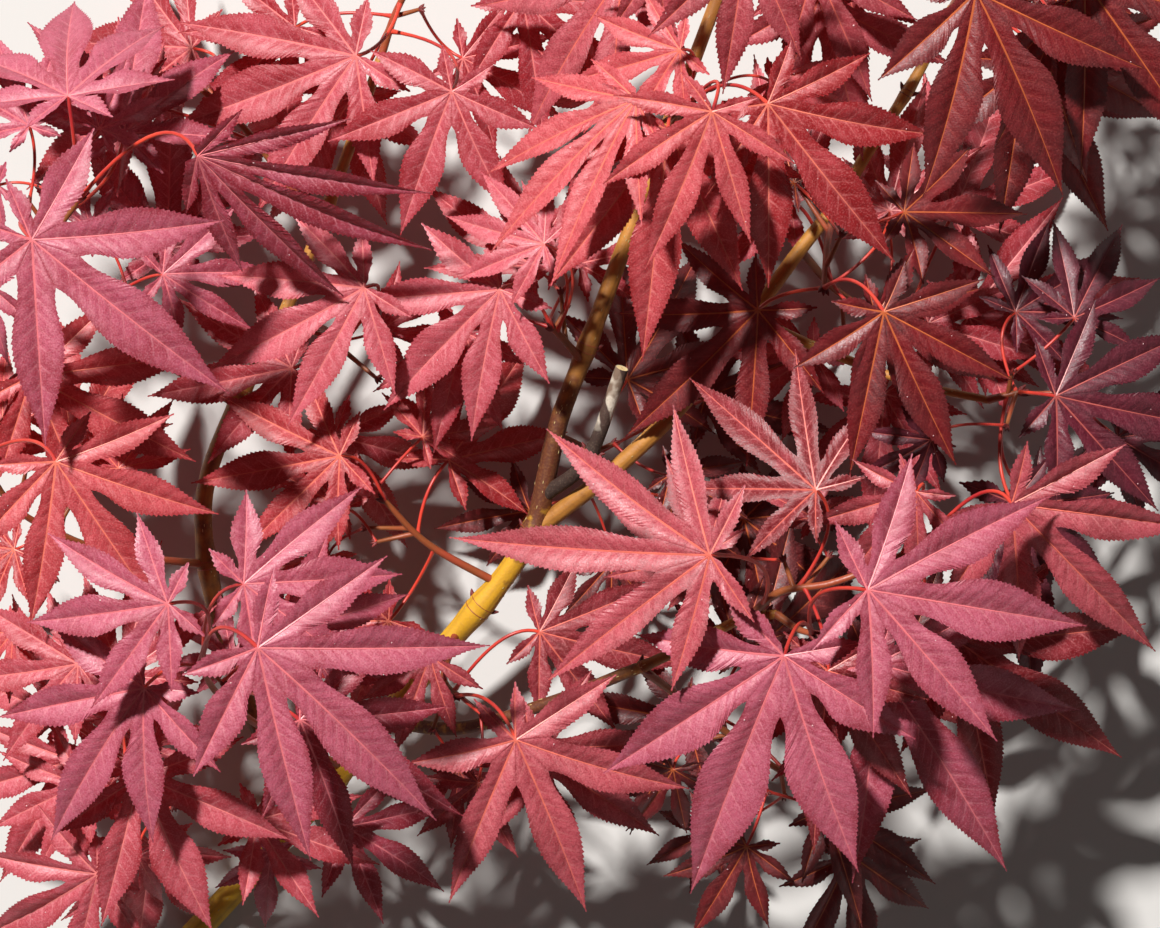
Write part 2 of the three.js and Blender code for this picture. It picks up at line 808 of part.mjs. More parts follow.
sprays.forEach((spray, order) => {
  const draw = dice(SEED + SPRAY_SEED * (order + 1));
  draw();
  for (let i = 0; i < spray.more; i++)
    for (let attempt = 0; attempt < TRIES; attempt++) {
      const serial = SPRAY_SERIAL * (order + 1) + RULE_SERIAL + TRIES * i + attempt;
      const { leaf, stalk } = ruleLeaf(spray, serial, draw);
      if (!isClear(leaf, stalk)) continue;
      keep(spray, leaf, stalk);
      break;
    }
});

// Assembly

function sprayMesh(spray) {
  let solid = rod(spray.curve, spray.radiusAt, SHOOT_SIDES, SHOOT_STEPS * spray.shoot.length);
  for (const { leaf, stalk } of spray.members) solid = solid.add(leafSolid(leaf, stalk));
  return solid.subtract(limbSolid(spray.limb, SEAT_GAP)).simplify(FINEST);
}

const solids = new Map();
for (const limb of limbs.values()) {
  let solid = limbSolid(limb);
  if (limb.from) solid = solid.subtract(limbSolid(limbs.get(limb.from[0]), SEAT_GAP));
  solids.set(limb.name, [solid, limb.name === "cut_stub" ? STUB_WOOD : WOOD]);
}
for (const spray of sprays) solids.set(spray.name, [sprayMesh(spray), LEAF_TINTS[spray.tint]]);

// The origin is under the middle of the box round the whole branch, at floor level
const box = new THREE.Box3();
for (const [solid] of solids.values()) {
  const { min, max } = solid.boundingBox();
  box.expandByPoint(new THREE.Vector3(...min)).expandByPoint(new THREE.Vector3(...max));
}
const middle = box.getCenter(new THREE.Vector3());

const branch = new THREE.Group();
branch.position.set(-middle.x, -middle.y, -box.min.z);
for (const [name, [solid, look]] of solids) {
  const mesh = new THREE.Mesh(geometryOf(solid), new THREE.MeshStandardMaterial(look));
  mesh.name = name;
  branch.add(mesh);
}

export default branch;
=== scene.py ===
# A cut, leafy branch of a red-leaved Japanese maple, lying on a pale floor and seen from straight above.
# The layout is in millimetres. Meshes are made from it in metres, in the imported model's frame.
import math
from functools import partial

import bpy
import numpy as np
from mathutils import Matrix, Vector


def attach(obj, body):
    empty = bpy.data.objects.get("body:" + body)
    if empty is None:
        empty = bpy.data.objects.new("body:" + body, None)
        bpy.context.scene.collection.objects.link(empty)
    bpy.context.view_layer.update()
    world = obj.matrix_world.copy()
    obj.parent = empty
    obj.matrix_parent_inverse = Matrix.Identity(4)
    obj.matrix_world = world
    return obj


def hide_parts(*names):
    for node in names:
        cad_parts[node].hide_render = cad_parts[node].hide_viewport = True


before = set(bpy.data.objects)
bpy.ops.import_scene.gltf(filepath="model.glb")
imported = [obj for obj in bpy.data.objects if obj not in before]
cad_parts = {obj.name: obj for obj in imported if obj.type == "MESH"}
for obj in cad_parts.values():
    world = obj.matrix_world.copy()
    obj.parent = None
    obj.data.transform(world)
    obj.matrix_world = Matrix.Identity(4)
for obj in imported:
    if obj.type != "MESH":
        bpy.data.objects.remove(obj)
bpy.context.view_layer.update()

MM = 0.001

# Where the layout's zero stands in the frame, in millimetres
HOME = np.array([-1.683487, -1.376122, 0.0])

# Places are given as they look from an eye this far above the focus level
EYE_DISTANCE = 1000.0
FOCUS_LEVEL = 110.0
VIEW_WIDTH = 290.0
SENSOR = 36.0


def link_object(name, data):
    thing = bpy.data.objects.new(name, data)
    bpy.context.scene.collection.objects.link(thing)
    return thing


def add_camera():
    """The photo's view: an eye straight above."""
    lens = bpy.data.cameras.new("eye")
    lens.sensor_fit = "HORIZONTAL"
    lens.sensor_width = SENSOR
    lens.lens = SENSOR * EYE_DISTANCE / VIEW_WIDTH
    lens.clip_start = 0.01
    camera = link_object("eye", lens)
    camera.location = (HOME + [0, 0, FOCUS_LEVEL + EYE_DISTANCE]) * MM
    bpy.context.scene.camera = camera


add_camera()

# Driving dimensions, as the solids have them

REACH = np.array([172.0, 146.0, 152.0])  # the box that every leaf keeps to
LEAF_GAP = 3.0  # clear room round a blade
STALK_GAP = 2.0  # round a stalk
LIMB_GAP = 1.5  # round a limb or shoot
SWELLING_REACH = 0.018  # share of a limb that a node swells
SWELLING_RISE = 0.22  # and by how much of its radius

# A leaf's lobes from the middle one outwards: turn in degrees, length and half width as shares of the leaf
HALF_FAN = [(0, 1, 0.128), (36, 0.84, 0.108), (76, 0.56, 0.084), (121, 0.3, 0.052)]
WIDEST = 0.46  # share of a lobe's length where the solid's lobe is broadest
MIDWAY = 0.92  # share of the room up to the next lobe that it may fill there
NOTCH = 0.23  # distance of the notch between two lobes from the foot, as a share of their mean length
HEEL = 0.05  # and of the notch behind the leaf, as a share of the leaf
DROOP = 0.16  # how far a lobe droops towards its tip
FOLD = 0.22  # rise of the solid's blade for each millimetre away from its rib
TIP_REST = 1.2  # how high the lowest tips lie
STRAY = {"length": 0.07, "turn": 3, "width": 0.08, "bend": 0.06, "droop": 0.3}  # each lobe's own, either way
RIB_DEPTH = 1.5
STALK_BACK = 0.3  # where a stalk bends, behind and below the leaf's foot, as shares of its run
STALK_DOWN = 0.4
SHOOT_RADIUS = (1.15, 0.75)  # at the foot and at the end
EASING = 1.5  # how many spans of the main stem its bark is eased over, each way
EASING_TESTS = 13
FAR_WEIGHT = 0.05

# Limbs: name, the stretch it grows from, places passed through, radii at foot and end, nodes
LIMBS = [
    ("main_stem", None,
     [(-97, -118, 3.4), (-73, -92, 12), (-57, -74, 20), (-33, -44, 33), (-18, -28, 41), (-10, -16, 46),
      (-8.5, -3, 50), (-6, 12, 54), (1, 25, 58), (10, 53, 64), (17.5, 71, 67), (27, 97, 70), (36, 121, 72)],
     (3.6, 1.7), [0.13, 0.3, 0.41, 0.67, 0.88]),
    ("bough_right", ("main_stem", 0.42),
     [(9, -1, 54), (26.5, 16, 58), (42, 36, 59), (55, 53.5, 58), (64, 65, 57), (72, 78, 57), (83, 95, 58),
      (93, 114, 60)],
     (2.4, 1.3), [0.36, 0.62, 0.86]),
    ("cut_stub", ("main_stem", 0.47), [(2, 1.5, 60), (10.5, 24, 70)], (2.0, 1.75), [0.55]),
    ("bough_left", ("main_stem", 0.11),
     [(-82, -62, 22), (-91, -36, 28), (-94, -9, 32), (-86, 15, 36), (-76, 33, 40), (-67, 54, 44),
      (-58, 78, 48), (-50, 101, 52)],
     (3.0, 1.3), [0.3, 0.52, 0.8]),
    ("bough_low_right", ("main_stem", 0.195),
     [(-30, -66, 40), (-7, -59.5, 55), (12, -52, 66), (16, -50.5, 68), (30, -44, 74), (41, -38.5, 79),
      (49, -37.5, 83)],
     (1.9, 1.15), [0.57, 0.97]),
    ("bough_far_right", ("bough_right", 0.38), [(62, 28, 58), (84, 20, 62), (102, 16, 66)], (1.4, 1.0), [0.6]),
]

# Sprays: name, tint, limb and share of it, places of the shoot, rows of leaves, leaves by the seeded rule,
# the way they head, and how many finer twigs the scene adds. A row is the share of the shoot where the stalk
# leaves, the foot of the blade, heading, length, dip and roll, then fan and breadth where they aren't 1.
SPRAYS = [
    ("spray_low_left_front", "mauve", "main_stem", 0.16, [(-76, -68, 44), (-90, -58, 68), (-95, -50, 98)],
     [(1.0, -80.5, -46, 140, -40, 66, 12, 0), (1.0, -103, -35, 132, 192, 41, 12, 0, 1.05, 1.1),
      (0.9, -84, -30, 116, 5, 43, 8, 0, 1.1, 1.15), (0.95, -109, -56, 116, 230, 50, 15, 0, 1.05, 1.1),
      (0.6, -70, -64, 104, -34, 50, 15, 0)], 0, 200, 3),
    ("spray_low_left_back", "rose", "main_stem", 0.08, [(-88, -88, 36), (-100, -82, 58), (-108, -74, 74)],
     [(1.0, -110, -78, 95, -66, 48, 12, 0, 1.1, 1.1), (0.9, -125.5, -50, 88, 188, 40, 12, 0),
      (1.0, -127, -74, 60, 236, 46, 15, 0)], 2, 215, 4),
    ("spray_left", "coral", "bough_left", 0.3, [(-118, -22, 52), (-140, -12, 70), (-150, 2, 84)],
     [(1.0, -131, 0.5, 106, -60, 55, 12, 0), (1.0, -137, 22, 84, -33, 52, 15, 0)], 3, 170, 4),
    ("spray_upper_left", "mauve", "bough_left", 0.5,
     [(-108, 28, 56), (-126, 44, 78), (-131, 56, 90), (-125.5, 66, 95)],
     [(1.0, -128, 92, 114, 98, 50, 48, 0, 1.1, 1.15), (1.0, -95.5, 77, 120, -27, 67, 12, 40, 0.65, 0.8),
      (0.8, -137, 56, 130, -42, 58, 8, 0, 1.3, 1.15)], 2, 120, 4),
    ("spray_top_left", "rose", "bough_left", 1, [(-46, 113, 56), (-40, 124, 62)],
     [(0.3, -32, 93, 84, 245, 42, 12, 0, 1.2, 1.15), (0.6, -56, 102, 72, 200, 57, 10, 0, 1, 1.1)], 3, 110, 4),
    ("spray_top_left_back", "rose", "bough_left", 0.78, [(-84, 84, 52), (-100, 98, 58)],
     [(1.0, -97, 104, 30, 172, 48, 26, 0)], 2, 150, 5),
    ("spray_upper_inner", "rose", "bough_left", 0.57, [(-66, 34, 52), (-60, 29, 60)],
     [(1.0, -54, 44, 84, 208, 50, 10, 0), (0.7, -72, 24, 56, 190, 44, 8, 0)], 1, 250, 4),
    ("spray_centre_left", "rose", "main_stem", 0.667, [(-4, 31, 66), (-7, 34, 70)],
     [(1.0, -20, 43.5, 86, 222, 48, 12, 0, 1.0, 1.1), (0.8, -9, 55, 95, 165, 31, 15, 0),
      (1.0, -29, 33, 72, 255, 34, 15, 0)], 1, 190, 3),
    ("spray_inner_left", "coral", "main_stem", 0.32, [(-38, -20, 46), (-49, -9, 52)],
     [(1.0, -60, 2, 62, 190, 44, 8, 0)], 2, 160, 5),
    ("spray_low_centre", "crimson", "main_stem", 0.26, [(-34, -53, 50), (-31, -58, 58)],
     [(1.0, -16, -69, 92, -66, 54, 10, 0, 1.3, 1.1), (0.6, -37.5, -48, 74, 250, 28, 10, 0),
      (0.9, -10, -42, 49, -15, 42, 10, 0)], 1, -80, 3),
    ("spray_top_centre", "coral", "main_stem", 0.878, [(25, 88, 84), (26, 89, 100)],
     [(1.0, 14, 91, 130, 221, 56, 10, 25, 0.68, 0.9), (1.0, 33, 88, 142, 250, 41, 15, 0, 1.05),
      (0.8, 22, 83.5, 120, -95, 58, 12, 0, 0.9, 1.1), (0.9, 47, 90, 128, -50, 53, 15, 0, 1, 1.1),
      (0.9, 25, 103.5, 108, 197, 32, 20, 0)], 0, 90, 3),
    ("spray_tip", "crimson", "main_stem", 1, [(40, 130, 84), (42, 136, 96)],
     [(1.0, 42, 131, 132, -98, 42, 15, 0)], 3, 90, 4),
    ("spray_top_right", "maroon", "bough_right", 1, [(97, 121, 78), (100, 126, 98)],
     [(1.0, 99, 118, 134, -60, 61, 12, 0, 1, 1.1), (0.9, 126, 121, 118, -50, 56, 15, 0)], 3, 50, 4),
    ("spray_mid_right", "maroon", "bough_right", 0.63, [(62, 56, 74), (61, 44, 84)],
     [(1.0, 76, 38, 119, -64, 48, 12, 0, 1.05), (1.0, 44.5, 38.5, 80, 228, 48, 14, 0, 1.1)], 1, 0, 3),
    ("spray_right", "mauve", "bough_low_right", 1, [(54, -41, 87), (58, -42.5, 91)],
     [(1.0, 72, -31.5, 134, -8, 64, 10, 0, 1.05, 1.05), (1.0, 51, -48, 124, -110, 69, 15, 0, 1, 1.2),
      (1.0, 74, -50, 100, -52, 69, 12, 0)], 0, -30, 0),
    ("spray_right_outer", "crimson", "bough_low_right", 0.88,
     [(50, -32, 89), (62, -30, 94), (73, -26, 96), (86, -20, 98)],
     [(0.12, 32.5, -22.8, 131, 181, 64, 12, 0), (0.35, 59, -6.5, 104, 140, 45, 18, 0, 1.05),
      (0.9, 84, -7, 112, 235, 34, 25, 0), (1.0, 108, -10, 112, -42, 60, 15, 20),
      (1.0, 94, -44, 88, -38, 62, 15, 0)], 1, 0, 2),
    ("spray_far_right", "purple", "bough_far_right", 1, [(110, 18, 69)],
     [(1.0, 119, 17, 82, -10, 50, 12, 0), (0.9, 109, 38, 62, 35, 34, 10, 0)], 2, 20, 3),
    ("spray_low_right", "maroon", "bough_low_right", 0.55, [(30, -62, 52), (46, -74, 42), (62, -84, 34)],
     [(0.8, 27, -64, 37, 205, 42, 10, 0)], 3, -50, 4),
    ("spray_back_centre", "maroon", "main_stem", 0.56, [(4, 2, 36), (14, -8, 24)], [], 3, -60, 3),
    ("spray_back_right", "rose", "bough_right", 0.5, [(66, 42, 42), (82, 36, 28)],
     [(1.0, 93, 62, 20, 62, 52, 22, 0)], 3, 10, 4),
]

# Single leaves that stand out, by spray and place in its list: breadth beside its kind, and depth of colour, a
# painted shade from the lit face towards the deeper one
SPECIAL = {
    "spray_low_left_front": {4: (1.0, 1.9)},
    "spray_upper_left": {0: (1.0, 0.1), 1: (0.8, 1.5)},
    "spray_low_centre": {0: (0.92, 0.0)},
    "spray_top_centre": {0: (0.9, 0.0), 1: (0.92, 0.5), 2: (0.95, 1.0), 3: (0.95, 1.9)},
    "spray_right": {0: (0.95, 0.2), 1: (1.0, 0.1), 2: (1.0, 0.9)},
    "spray_right_outer": {0: (0.8, 0.0), 1: (0.85, 2.0), 3: (0.95, 0.1), 4: (1.0, 2.0), 5: (0.95, 1.7)},
}

# The seeded rule's leaves: ranges of sizes in millimetres and of angles in degrees
SEED = 20
TRIES = 40
RULE = {"share": (0.35, 1), "swing": (-130, 130), "climb": (-35, 40), "stalk": (22, 36), "twist": (-35, 35),
        "length": (38, 56), "dip": (4, 26), "roll": (-20, 20), "fan": 1.05, "breadth": 1.05}
# and of the finer twigs that leave the shoots, and the pair of leaves at the end of each
TWIG = {"share": (0.3, 0.97), "swing": (-130, 130), "climb": (-35, 45), "run": (6, 15)}
FINER = {**RULE, "share": (1, 1), "swing": (-25, 25), "climb": (-35, 45), "stalk": (12, 22), "twist": (-25, 25),
         "length": (22, 40)}
PAIR_SPREAD = 50  # degrees from a twig to each of its two stalks
PAIR_TRIES = 20  # after which one leaf is enough
TWIG_RADIUS = (0.75, 0.52)
TWIG_SAG = 0.15  # share of a twig's run
LIMB_SIGHT = 3.5  # how near the finer leaves come to a limb, as seen from above
COVERING = ("spray_low_left_front", "spray_low_left_back")  # whose finer leaves may hide a limb
OPENED = ("spray_centre_left", 3)  # spray and place of a leaf that would hide the stem and the stub
LOWEST_FOOT = 8.0  # of a leaf's foot over the floor
LOWEST_TIP = -4.0  # of a tip, before it is laid on the floor
MOST_RESTING = 4  # tested places of a blade that may lie on the floor

# Where things are tested for clear room, as shares of their length or as counts
LOBE_TESTS = (0.3, 0.5, 0.7, 0.85, 1)
TWIG_TESTS = (0.45, 0.6, 0.75, 0.9, 1.0)
STALK_STRETCH = (0.2, 0.915)
STALK_TESTS = 12
LIMB_TESTS = 60
SHOOT_TESTS = 24
BLADE_MARGIN = 1.5
NEAR_LEAF = 1.1  # reach of a leaf beside its length, beyond which nothing is tested

# The plain outline that is tested, as shares of a lobe's half width and length
OUTLINE = (-0.05, 1.04)  # where it starts and ends
OUTLINE_FOOT, OUTLINE_RISE, OUTLINE_FALL = 0.3, 1.6, 2.3
SPOTS_FOOT, SPOTS_FALL = 1.15, 0.9  # the tested places on it

# So that each spray and leaf has its own dice
SPRAY_SEED = 104729
LEAF_SEED = 7919
SPRAY_SERIAL = 1000
RULE_SERIAL = 100
FINER_SERIAL = 500


# Growing the branch

def dice(seed):
    """The same draws in any language: a whole number times 16807, kept below 2^31 - 1."""
    state = seed

    def draw():
        nonlocal state
        state = state * 16807 % 2147483647
        return state / 2147483647

    return draw


def between(ends, share):
    return ends[0] + (ends[1] - ends[0]) * share


def stray(amount, drawn):
    return amount * (2 * drawn - 1)


def unit(vector):
    return vector / np.linalg.norm(vector)


def spread_at(level):
    return 1 + (FOCUS_LEVEL - level) / EYE_DISTANCE


def as_seen(place):
    x, y, z = place
    return np.array([x * spread_at(z), y * spread_at(z), z])


class Curve:
    """A curve whose places are given by shares of it, from 0 to 1."""

    def points(self, shares):
        return np.array([self.at(share) for share in shares])


class Path(Curve):
    """A smooth curve through places."""

    def __init__(self, places):
        p = [np.asarray(place, float) for place in places]
        self.p = [2 * p[0] - p[1], *p, 2 * p[-1] - p[-2]]
        self.spans = len(p) - 1

    def at(self, share):
        along = share * self.spans
        i = min(int(along), self.spans - 1)
        w = along - i
        a, b, c, d = self.p[i:i + 4]
        t0 = 0.5 * (c - a)
        t1 = 0.5 * (d - b)
        return b + t0 * w + (-3 * b + 3 * c - 2 * t0 - t1) * w**2 + (2 * b - 2 * c + t0 + t1) * w**3


def eased(path):
    """A path whose places lean towards their neighbours, so that it bends more evenly."""
    near = np.linspace(-1, 1, EASING_TESTS)
    weights = 1 + FAR_WEIGHT - np.abs(near)
    places = []
    for i in range(path.spans + 1):
        reach = min(EASING, i, path.spans - i) / path.spans
        places.append(np.average(path.points(i / path.spans + reach * near), axis=0, weights=weights))
    return Path(places)


class Bow(Curve):
    """A bow between two places, bent towards a third."""

    def __init__(self, start, bend, end):
        self.ends = start, bend, end

    def at(self, share):
        start, bend, end = self.ends
        return (1 - share)**2 * start + 2 * share * (1 - share) * bend + share**2 * end


class Limb:
    """A limb's path, the evener one that its bark follows, and how thick it is on the way."""

    def __init__(self, name, path, radii, nodes):
        self.name, self.path, self.radii, self.nodes = name, path, radii, nodes
        self.line = eased(path) if name == "main_stem" else path

    def radius(self, share):
        bulge = sum(math.exp(-(((share - at) / SWELLING_REACH)**2)) for at in self.nodes)
        return between(self.radii, share) * (1 + SWELLING_RISE * bulge)


limbs = {}
for name, origin, places, radii, nodes in LIMBS:
    places = [as_seen(place) for place in places]
    if origin:
        places.insert(0, limbs[origin[0]].path.at(origin[1]))
    limbs[name] = Limb(name, Path(places), radii, nodes)


class Leaf:
    """A leaf's own frame and lobes. Each has its own dice, so no two are alike."""

    def __init__(self, serial, x, y, z, heading, length, dip, roll, fan=1, breadth=1):
        draw = dice(SEED + LEAF_SEED * serial)
        draw()
        h, p, r = math.radians(heading), math.radians(dip), math.radians(roll)
        self.serial = serial
        self.along = np.array([math.cos(h) * math.cos(p), math.sin(h) * math.cos(p), -math.sin(p)])
        level = np.array([-math.sin(h), math.cos(h), 0])
        rise = np.cross(self.along, level)
        self.across = level * math.cos(r) + rise * math.sin(r)
        self.up = np.cross(self.along, self.across)
        self.foot = as_seen((x, y, z))
        self.length = length
        rows = []
        for i in range(-3, 4):
            turn, share, width = HALF_FAN[abs(i)]
            reach = length * share * (1 + stray(STRAY["length"], draw()))
            rows.append((
                math.radians((i > 0) * turn * fan - (i < 0) * turn * fan + stray(STRAY["turn"], draw())),
                reach,
                length * width * breadth * (1 + stray(STRAY["width"], draw())),
                reach * stray(STRAY["bend"], draw()),
                DROOP * (1 + stray(STRAY["droop"], draw())),
            ))
        self.turn, self.reach, self.width, self.bend, self.droop = np.array(rows).T

    def place(self, u, v, lift):
        """Places u towards the middle lobe's tip, v to its left, lifted off the plane."""
        u, v, lift = (np.asarray(n, float)[..., None] for n in (u, v, lift))
        return self.foot + u * self.along + v * self.across + lift * self.up

    def on_lobe(self, i, out, off, lift, fold=FOLD):
        """Places on lobe i: distance out along its rib, distance off it to the left, and lift."""
        out, off = np.asarray(out, float), np.asarray(off, float)
        aside = off + self.bend[i] * (out / self.reach[i])**2
        u = out * math.cos(self.turn[i]) - aside * math.sin(self.turn[i])
        v = out * math.sin(self.turn[i]) + aside * math.cos(self.turn[i])
        return self.place(u, v, lift - self.droop[i] * out**2 / self.length + fold * np.abs(off))

    def tests(self):
        """Places all over the blade that are tested for clear room."""
        spots = []
        for i in range(7):
            for share in LOBE_TESTS:
                for side in (-1, 0, 1) if share < 1 else (0,):
                    off = side * self.width[i] * (SPOTS_FOOT - SPOTS_FALL * share)
                    spots.append(self.on_lobe(i, share * self.reach[i], off, 0))
        return np.array(spots)

    def touched(self, spots, gap):
        """Whether any of the spots is within a gap of the blade."""
        away = spots - self.foot
        u, v, height = (away @ axis for axis in (self.along, self.across, self.up))
        near = np.hypot(u, v) <= NEAR_LEAF * self.length
        if not near.any():
            return False
        u, v, height = u[near, None], v[near, None], height[near, None]
        cos, sin = np.cos(self.turn), np.sin(self.turn)
        share = (u * cos + v * sin) / self.reach
        off = np.abs(v * cos - u * sin - self.bend * share**2)
        level = FOLD * off - self.droop * (share * self.reach)**2 / self.length
        rising, falling = OUTLINE_FOOT + OUTLINE_RISE * share, OUTLINE_FALL * (OUTLINE[1] - share)
        width = self.width * np.minimum(np.minimum(1, rising), falling)
        inside = (share >= OUTLINE[0]) & (share <= OUTLINE[1]) & (off < width + BLADE_MARGIN)
        return bool((inside & (np.abs(height - level) < gap)).any())


def stalk_curve(start, leaf):
    """A leaf's stalk leaves the shoot and comes up under the blade from behind."""
    run = np.linalg.norm(start - leaf.foot)
    bend = leaf.place(-STALK_BACK * run, 0, -STALK_DOWN * run)
    return Bow(start, bend, leaf.place(0, 0, -RIB_DEPTH))


class Member:
    """A leaf with its stalk, and the places of both that are tested."""

    def __init__(self, leaf, stalk):
        self.leaf, self.stalk = leaf, stalk
        self.blade = leaf.tests()
        self.stem = stalk.points([between(STALK_STRETCH, i / (STALK_TESTS - 1)) for i in range(STALK_TESTS)])


class Spray:
    """A shoot with its leaves, and the finer twigs that leave it."""

    def __init__(self, name, tint, limb, share, places, rows, more, outward, finer):
        self.name, self.tint, self.rows = name, tint, rows
        self.more, self.outward, self.finer = more, outward, finer
        self.path = Path([limbs[limb].path.at(share), *map(as_seen, places)])
        self.members = []
        self.twigs = []


# Round places along all limbs, shoots and twigs, the limbs first
rod_centres = []
rod_radii = []


def mark_rod(path, radius, count):
    for i in range(count + 1):
        rod_centres.append(path.at(i / count))
        rod_radii.append(radius(i / count))


def gaps_between(spots, others):
    """How far each spot is from each of the others."""
    return np.linalg.norm(spots[:, None] - np.asarray(others), axis=2)


def as_flat(spots):
    """Where an eye above sees places, at the focus level."""
    return spots[:, :2] * (EYE_DISTANCE / (FOCUS_LEVEL + EYE_DISTANCE - spots[:, 2:]))


def hides_limb(member):
    """Whether a blade would hide a limb from an eye above."""
    centres = np.array(rod_centres[:len(limbs) * (LIMB_TESTS + 1)])
    gaps = gaps_between(as_flat(member.blade), as_flat(centres))
    above = member.blade[:, None, 2] > centres[:, 2]
    return bool(((gaps < LIMB_SIGHT) & above).any())


def is_clear(member, others):
    """Whether a leaf and its stalk keep to the box and clear of every limb, shoot and other leaf."""
    blade, stem, leaf = member.blade, member.stem, member.leaf
    low = blade[:, 2]
    if (np.abs(blade[:, :2]) >= REACH[:2]).any() or leaf.foot[2] < LOWEST_FOOT:
        return False
    if low.max() > REACH[2] or low.min() < LOWEST_TIP or (low < TIP_REST).sum() > MOST_RESTING:
        return False
    for spots, gap in ((blade, LEAF_GAP), (stem[1:], LIMB_GAP)):
        if (gaps_between(spots, rod_centres) < np.array(rod_radii) + gap).any():
            return False
    for other in others:
        if leaf.touched(other.blade, LEAF_GAP) or leaf.touched(other.stem, STALK_GAP):
            return False
        if other.leaf.touched(blade, LEAF_GAP) or other.leaf.touched(stem, STALK_GAP):
            return False
        if (gaps_between(stem, other.stem) < STALK_GAP).any():
            return False
    return True


def rule_member(rule, path, outward, serial, draw):
    """One try of the seeded rule: a stalk that leaves a path, and the leaf at its end."""
    start = path.at(between(rule["share"], draw()))
    way = outward + between(rule["swing"], draw())
    climb = math.radians(between(rule["climb"], draw()))
    run = between(rule["stalk"], draw())
    level = run * math.cos(climb)
    x = start[0] + level * math.cos(math.radians(way))
    y = start[1] + level * math.sin(math.radians(way))
    z = start[2] + run * math.sin(climb)
    heading = way + between(rule["twist"], draw())
    length = between(rule["length"], draw())
    dip = between(rule["dip"], draw())
    roll = between(rule["roll"], draw())
    leaf = Leaf(serial, x / spread_at(z), y / spread_at(z), z, heading, length, dip, roll,
                rule["fan"], rule["breadth"])
    return Member(leaf, stalk_curve(start, leaf))


def finer_twig(path, outward, draw):
    """One try of a finer twig: its bow and the way it heads."""
    start = path.at(between(TWIG["share"], draw()))
    way = outward + between(TWIG["swing"], draw())
    climb = math.radians(between(TWIG["climb"], draw()))
    run = between(TWIG["run"], draw())
    turn = math.radians(way)
    heading = np.array([math.cos(turn) * math.cos(climb), math.sin(turn) * math.cos(climb), math.sin(climb)])
    sag = np.array([0, 0, TWIG_SAG * run])
    return Bow(start, start + 0.5 * run * heading - sag, start + run * heading), way


def has_room(spots, others):
    """Whether a twig keeps off the floor and clear of every limb, shoot, leaf and stalk."""
    if spots[:, 2].min() < LOWEST_FOOT:
        return False
    if (gaps_between(spots, rod_centres) < np.array(rod_radii) + LIMB_GAP).any():
        return False
    return not any(other.leaf.touched(spots, STALK_GAP) or (gaps_between(spots, other.stem) < STALK_GAP).any()
                   for other in others)


def grow_twig(spray, serial, grown, draw):
    """One try of a finer twig with its two leaves: the twig, and those of the leaves that have room."""
    twig, way = finer_twig(spray.path, spray.outward, draw)
    pair = []
    if not has_room(twig.points(TWIG_TESTS), grown):
        return twig, pair
    for side in (0, 1):
        member = rule_member(FINER, twig, way + PAIR_SPREAD * (2 * side - 1), serial + side, draw)
        if (spray.name in COVERING or not hides_limb(member)) and is_clear(member, grown + pair):
            pair.append(member)
    return twig, pair


def grow_solid_leaves(sprays):
    """The leaves that the solids have, in their order: those of the photo's rows, then those of the rule."""
    grown = []
    for order, spray in enumerate(sprays, 1):
        for i, (share, *row) in enumerate(spray.rows):
            leaf = Leaf(SPRAY_SERIAL * order + i, *row)
            spray.members.append(Member(leaf, stalk_curve(spray.path.at(share), leaf)))
        grown += spray.members
    for order, spray in enumerate(sprays, 1):
        draw = dice(SEED + SPRAY_SEED * order)
        draw()
        for i in range(spray.more):
            for attempt in range(TRIES):
                serial = SPRAY_SERIAL * order + RULE_SERIAL + TRIES * i + attempt
                member = rule_member(RULE, spray.path, spray.outward, serial, draw)
                if is_clear(member, grown):
                    spray.members.append(member)
                    grown.append(member)
                    break
    return grown


def grow_finer_twigs(sprays, grown):
    """Twigs that leave the shoots, each with one or two smaller leaves, where there is room."""
    for order, spray in enumerate(sprays, 1):
        draw = dice(SEED + SPRAY_SEED * order + FINER_SERIAL)
        draw()
        for i in range(spray.finer):
            for attempt in range(TRIES):
                serial = SPRAY_SERIAL * order + FINER_SERIAL + 2 * (TRIES * i + attempt)
                twig, pair = grow_twig(spray, serial, grown, draw)
                if len(pair) == 2 or pair and attempt >= PAIR_TRIES:
                    spray.twigs.append(twig)
                    spray.members += pair
                    grown += pair
                    mark_rod(twig, lambda share: between(TWIG_RADIUS, share), len(TWIG_TESTS))
                    break


def grow():
    """All sprays with their twigs and leaves."""
    for limb in limbs.values():
        mark_rod(limb.path, limb.radius, LIMB_TESTS)
    sprays = [Spray(*row) for row in SPRAYS]
    for spray in sprays:
        mark_rod(spray.path, lambda share: between(SHOOT_RADIUS, share), SHOOT_TESTS)
    grown = grow_solid_leaves(sprays)
    solid_leaves = len(grown)
    for spray in sprays:
        if spray.name == OPENED[0]:
            grown.remove(spray.members.pop(OPENED[1]))
    grow_finer_twigs(sprays, grown)
    print("leaves", solid_leaves, "with the finer ones", len(grown), "on twigs", sum(len(s.twigs) for s in sprays))
    return sprays


sprays = grow()


# Shader building

def add_node(tree, kind, settings=None, sockets=None):
    """Adds a node to a tree: its settings first, then its inputs' values or the outputs that feed them."""
    node = tree.nodes.new(kind)
    for key, value in (settings or {}).items():
        setattr(node, key, value)
    for key, value in (sockets or {}).items():
        if isinstance(value, bpy.types.NodeSocket):
            tree.links.new(value, node.inputs[key])
        else:
            node.inputs[key].default_value = value
    return node


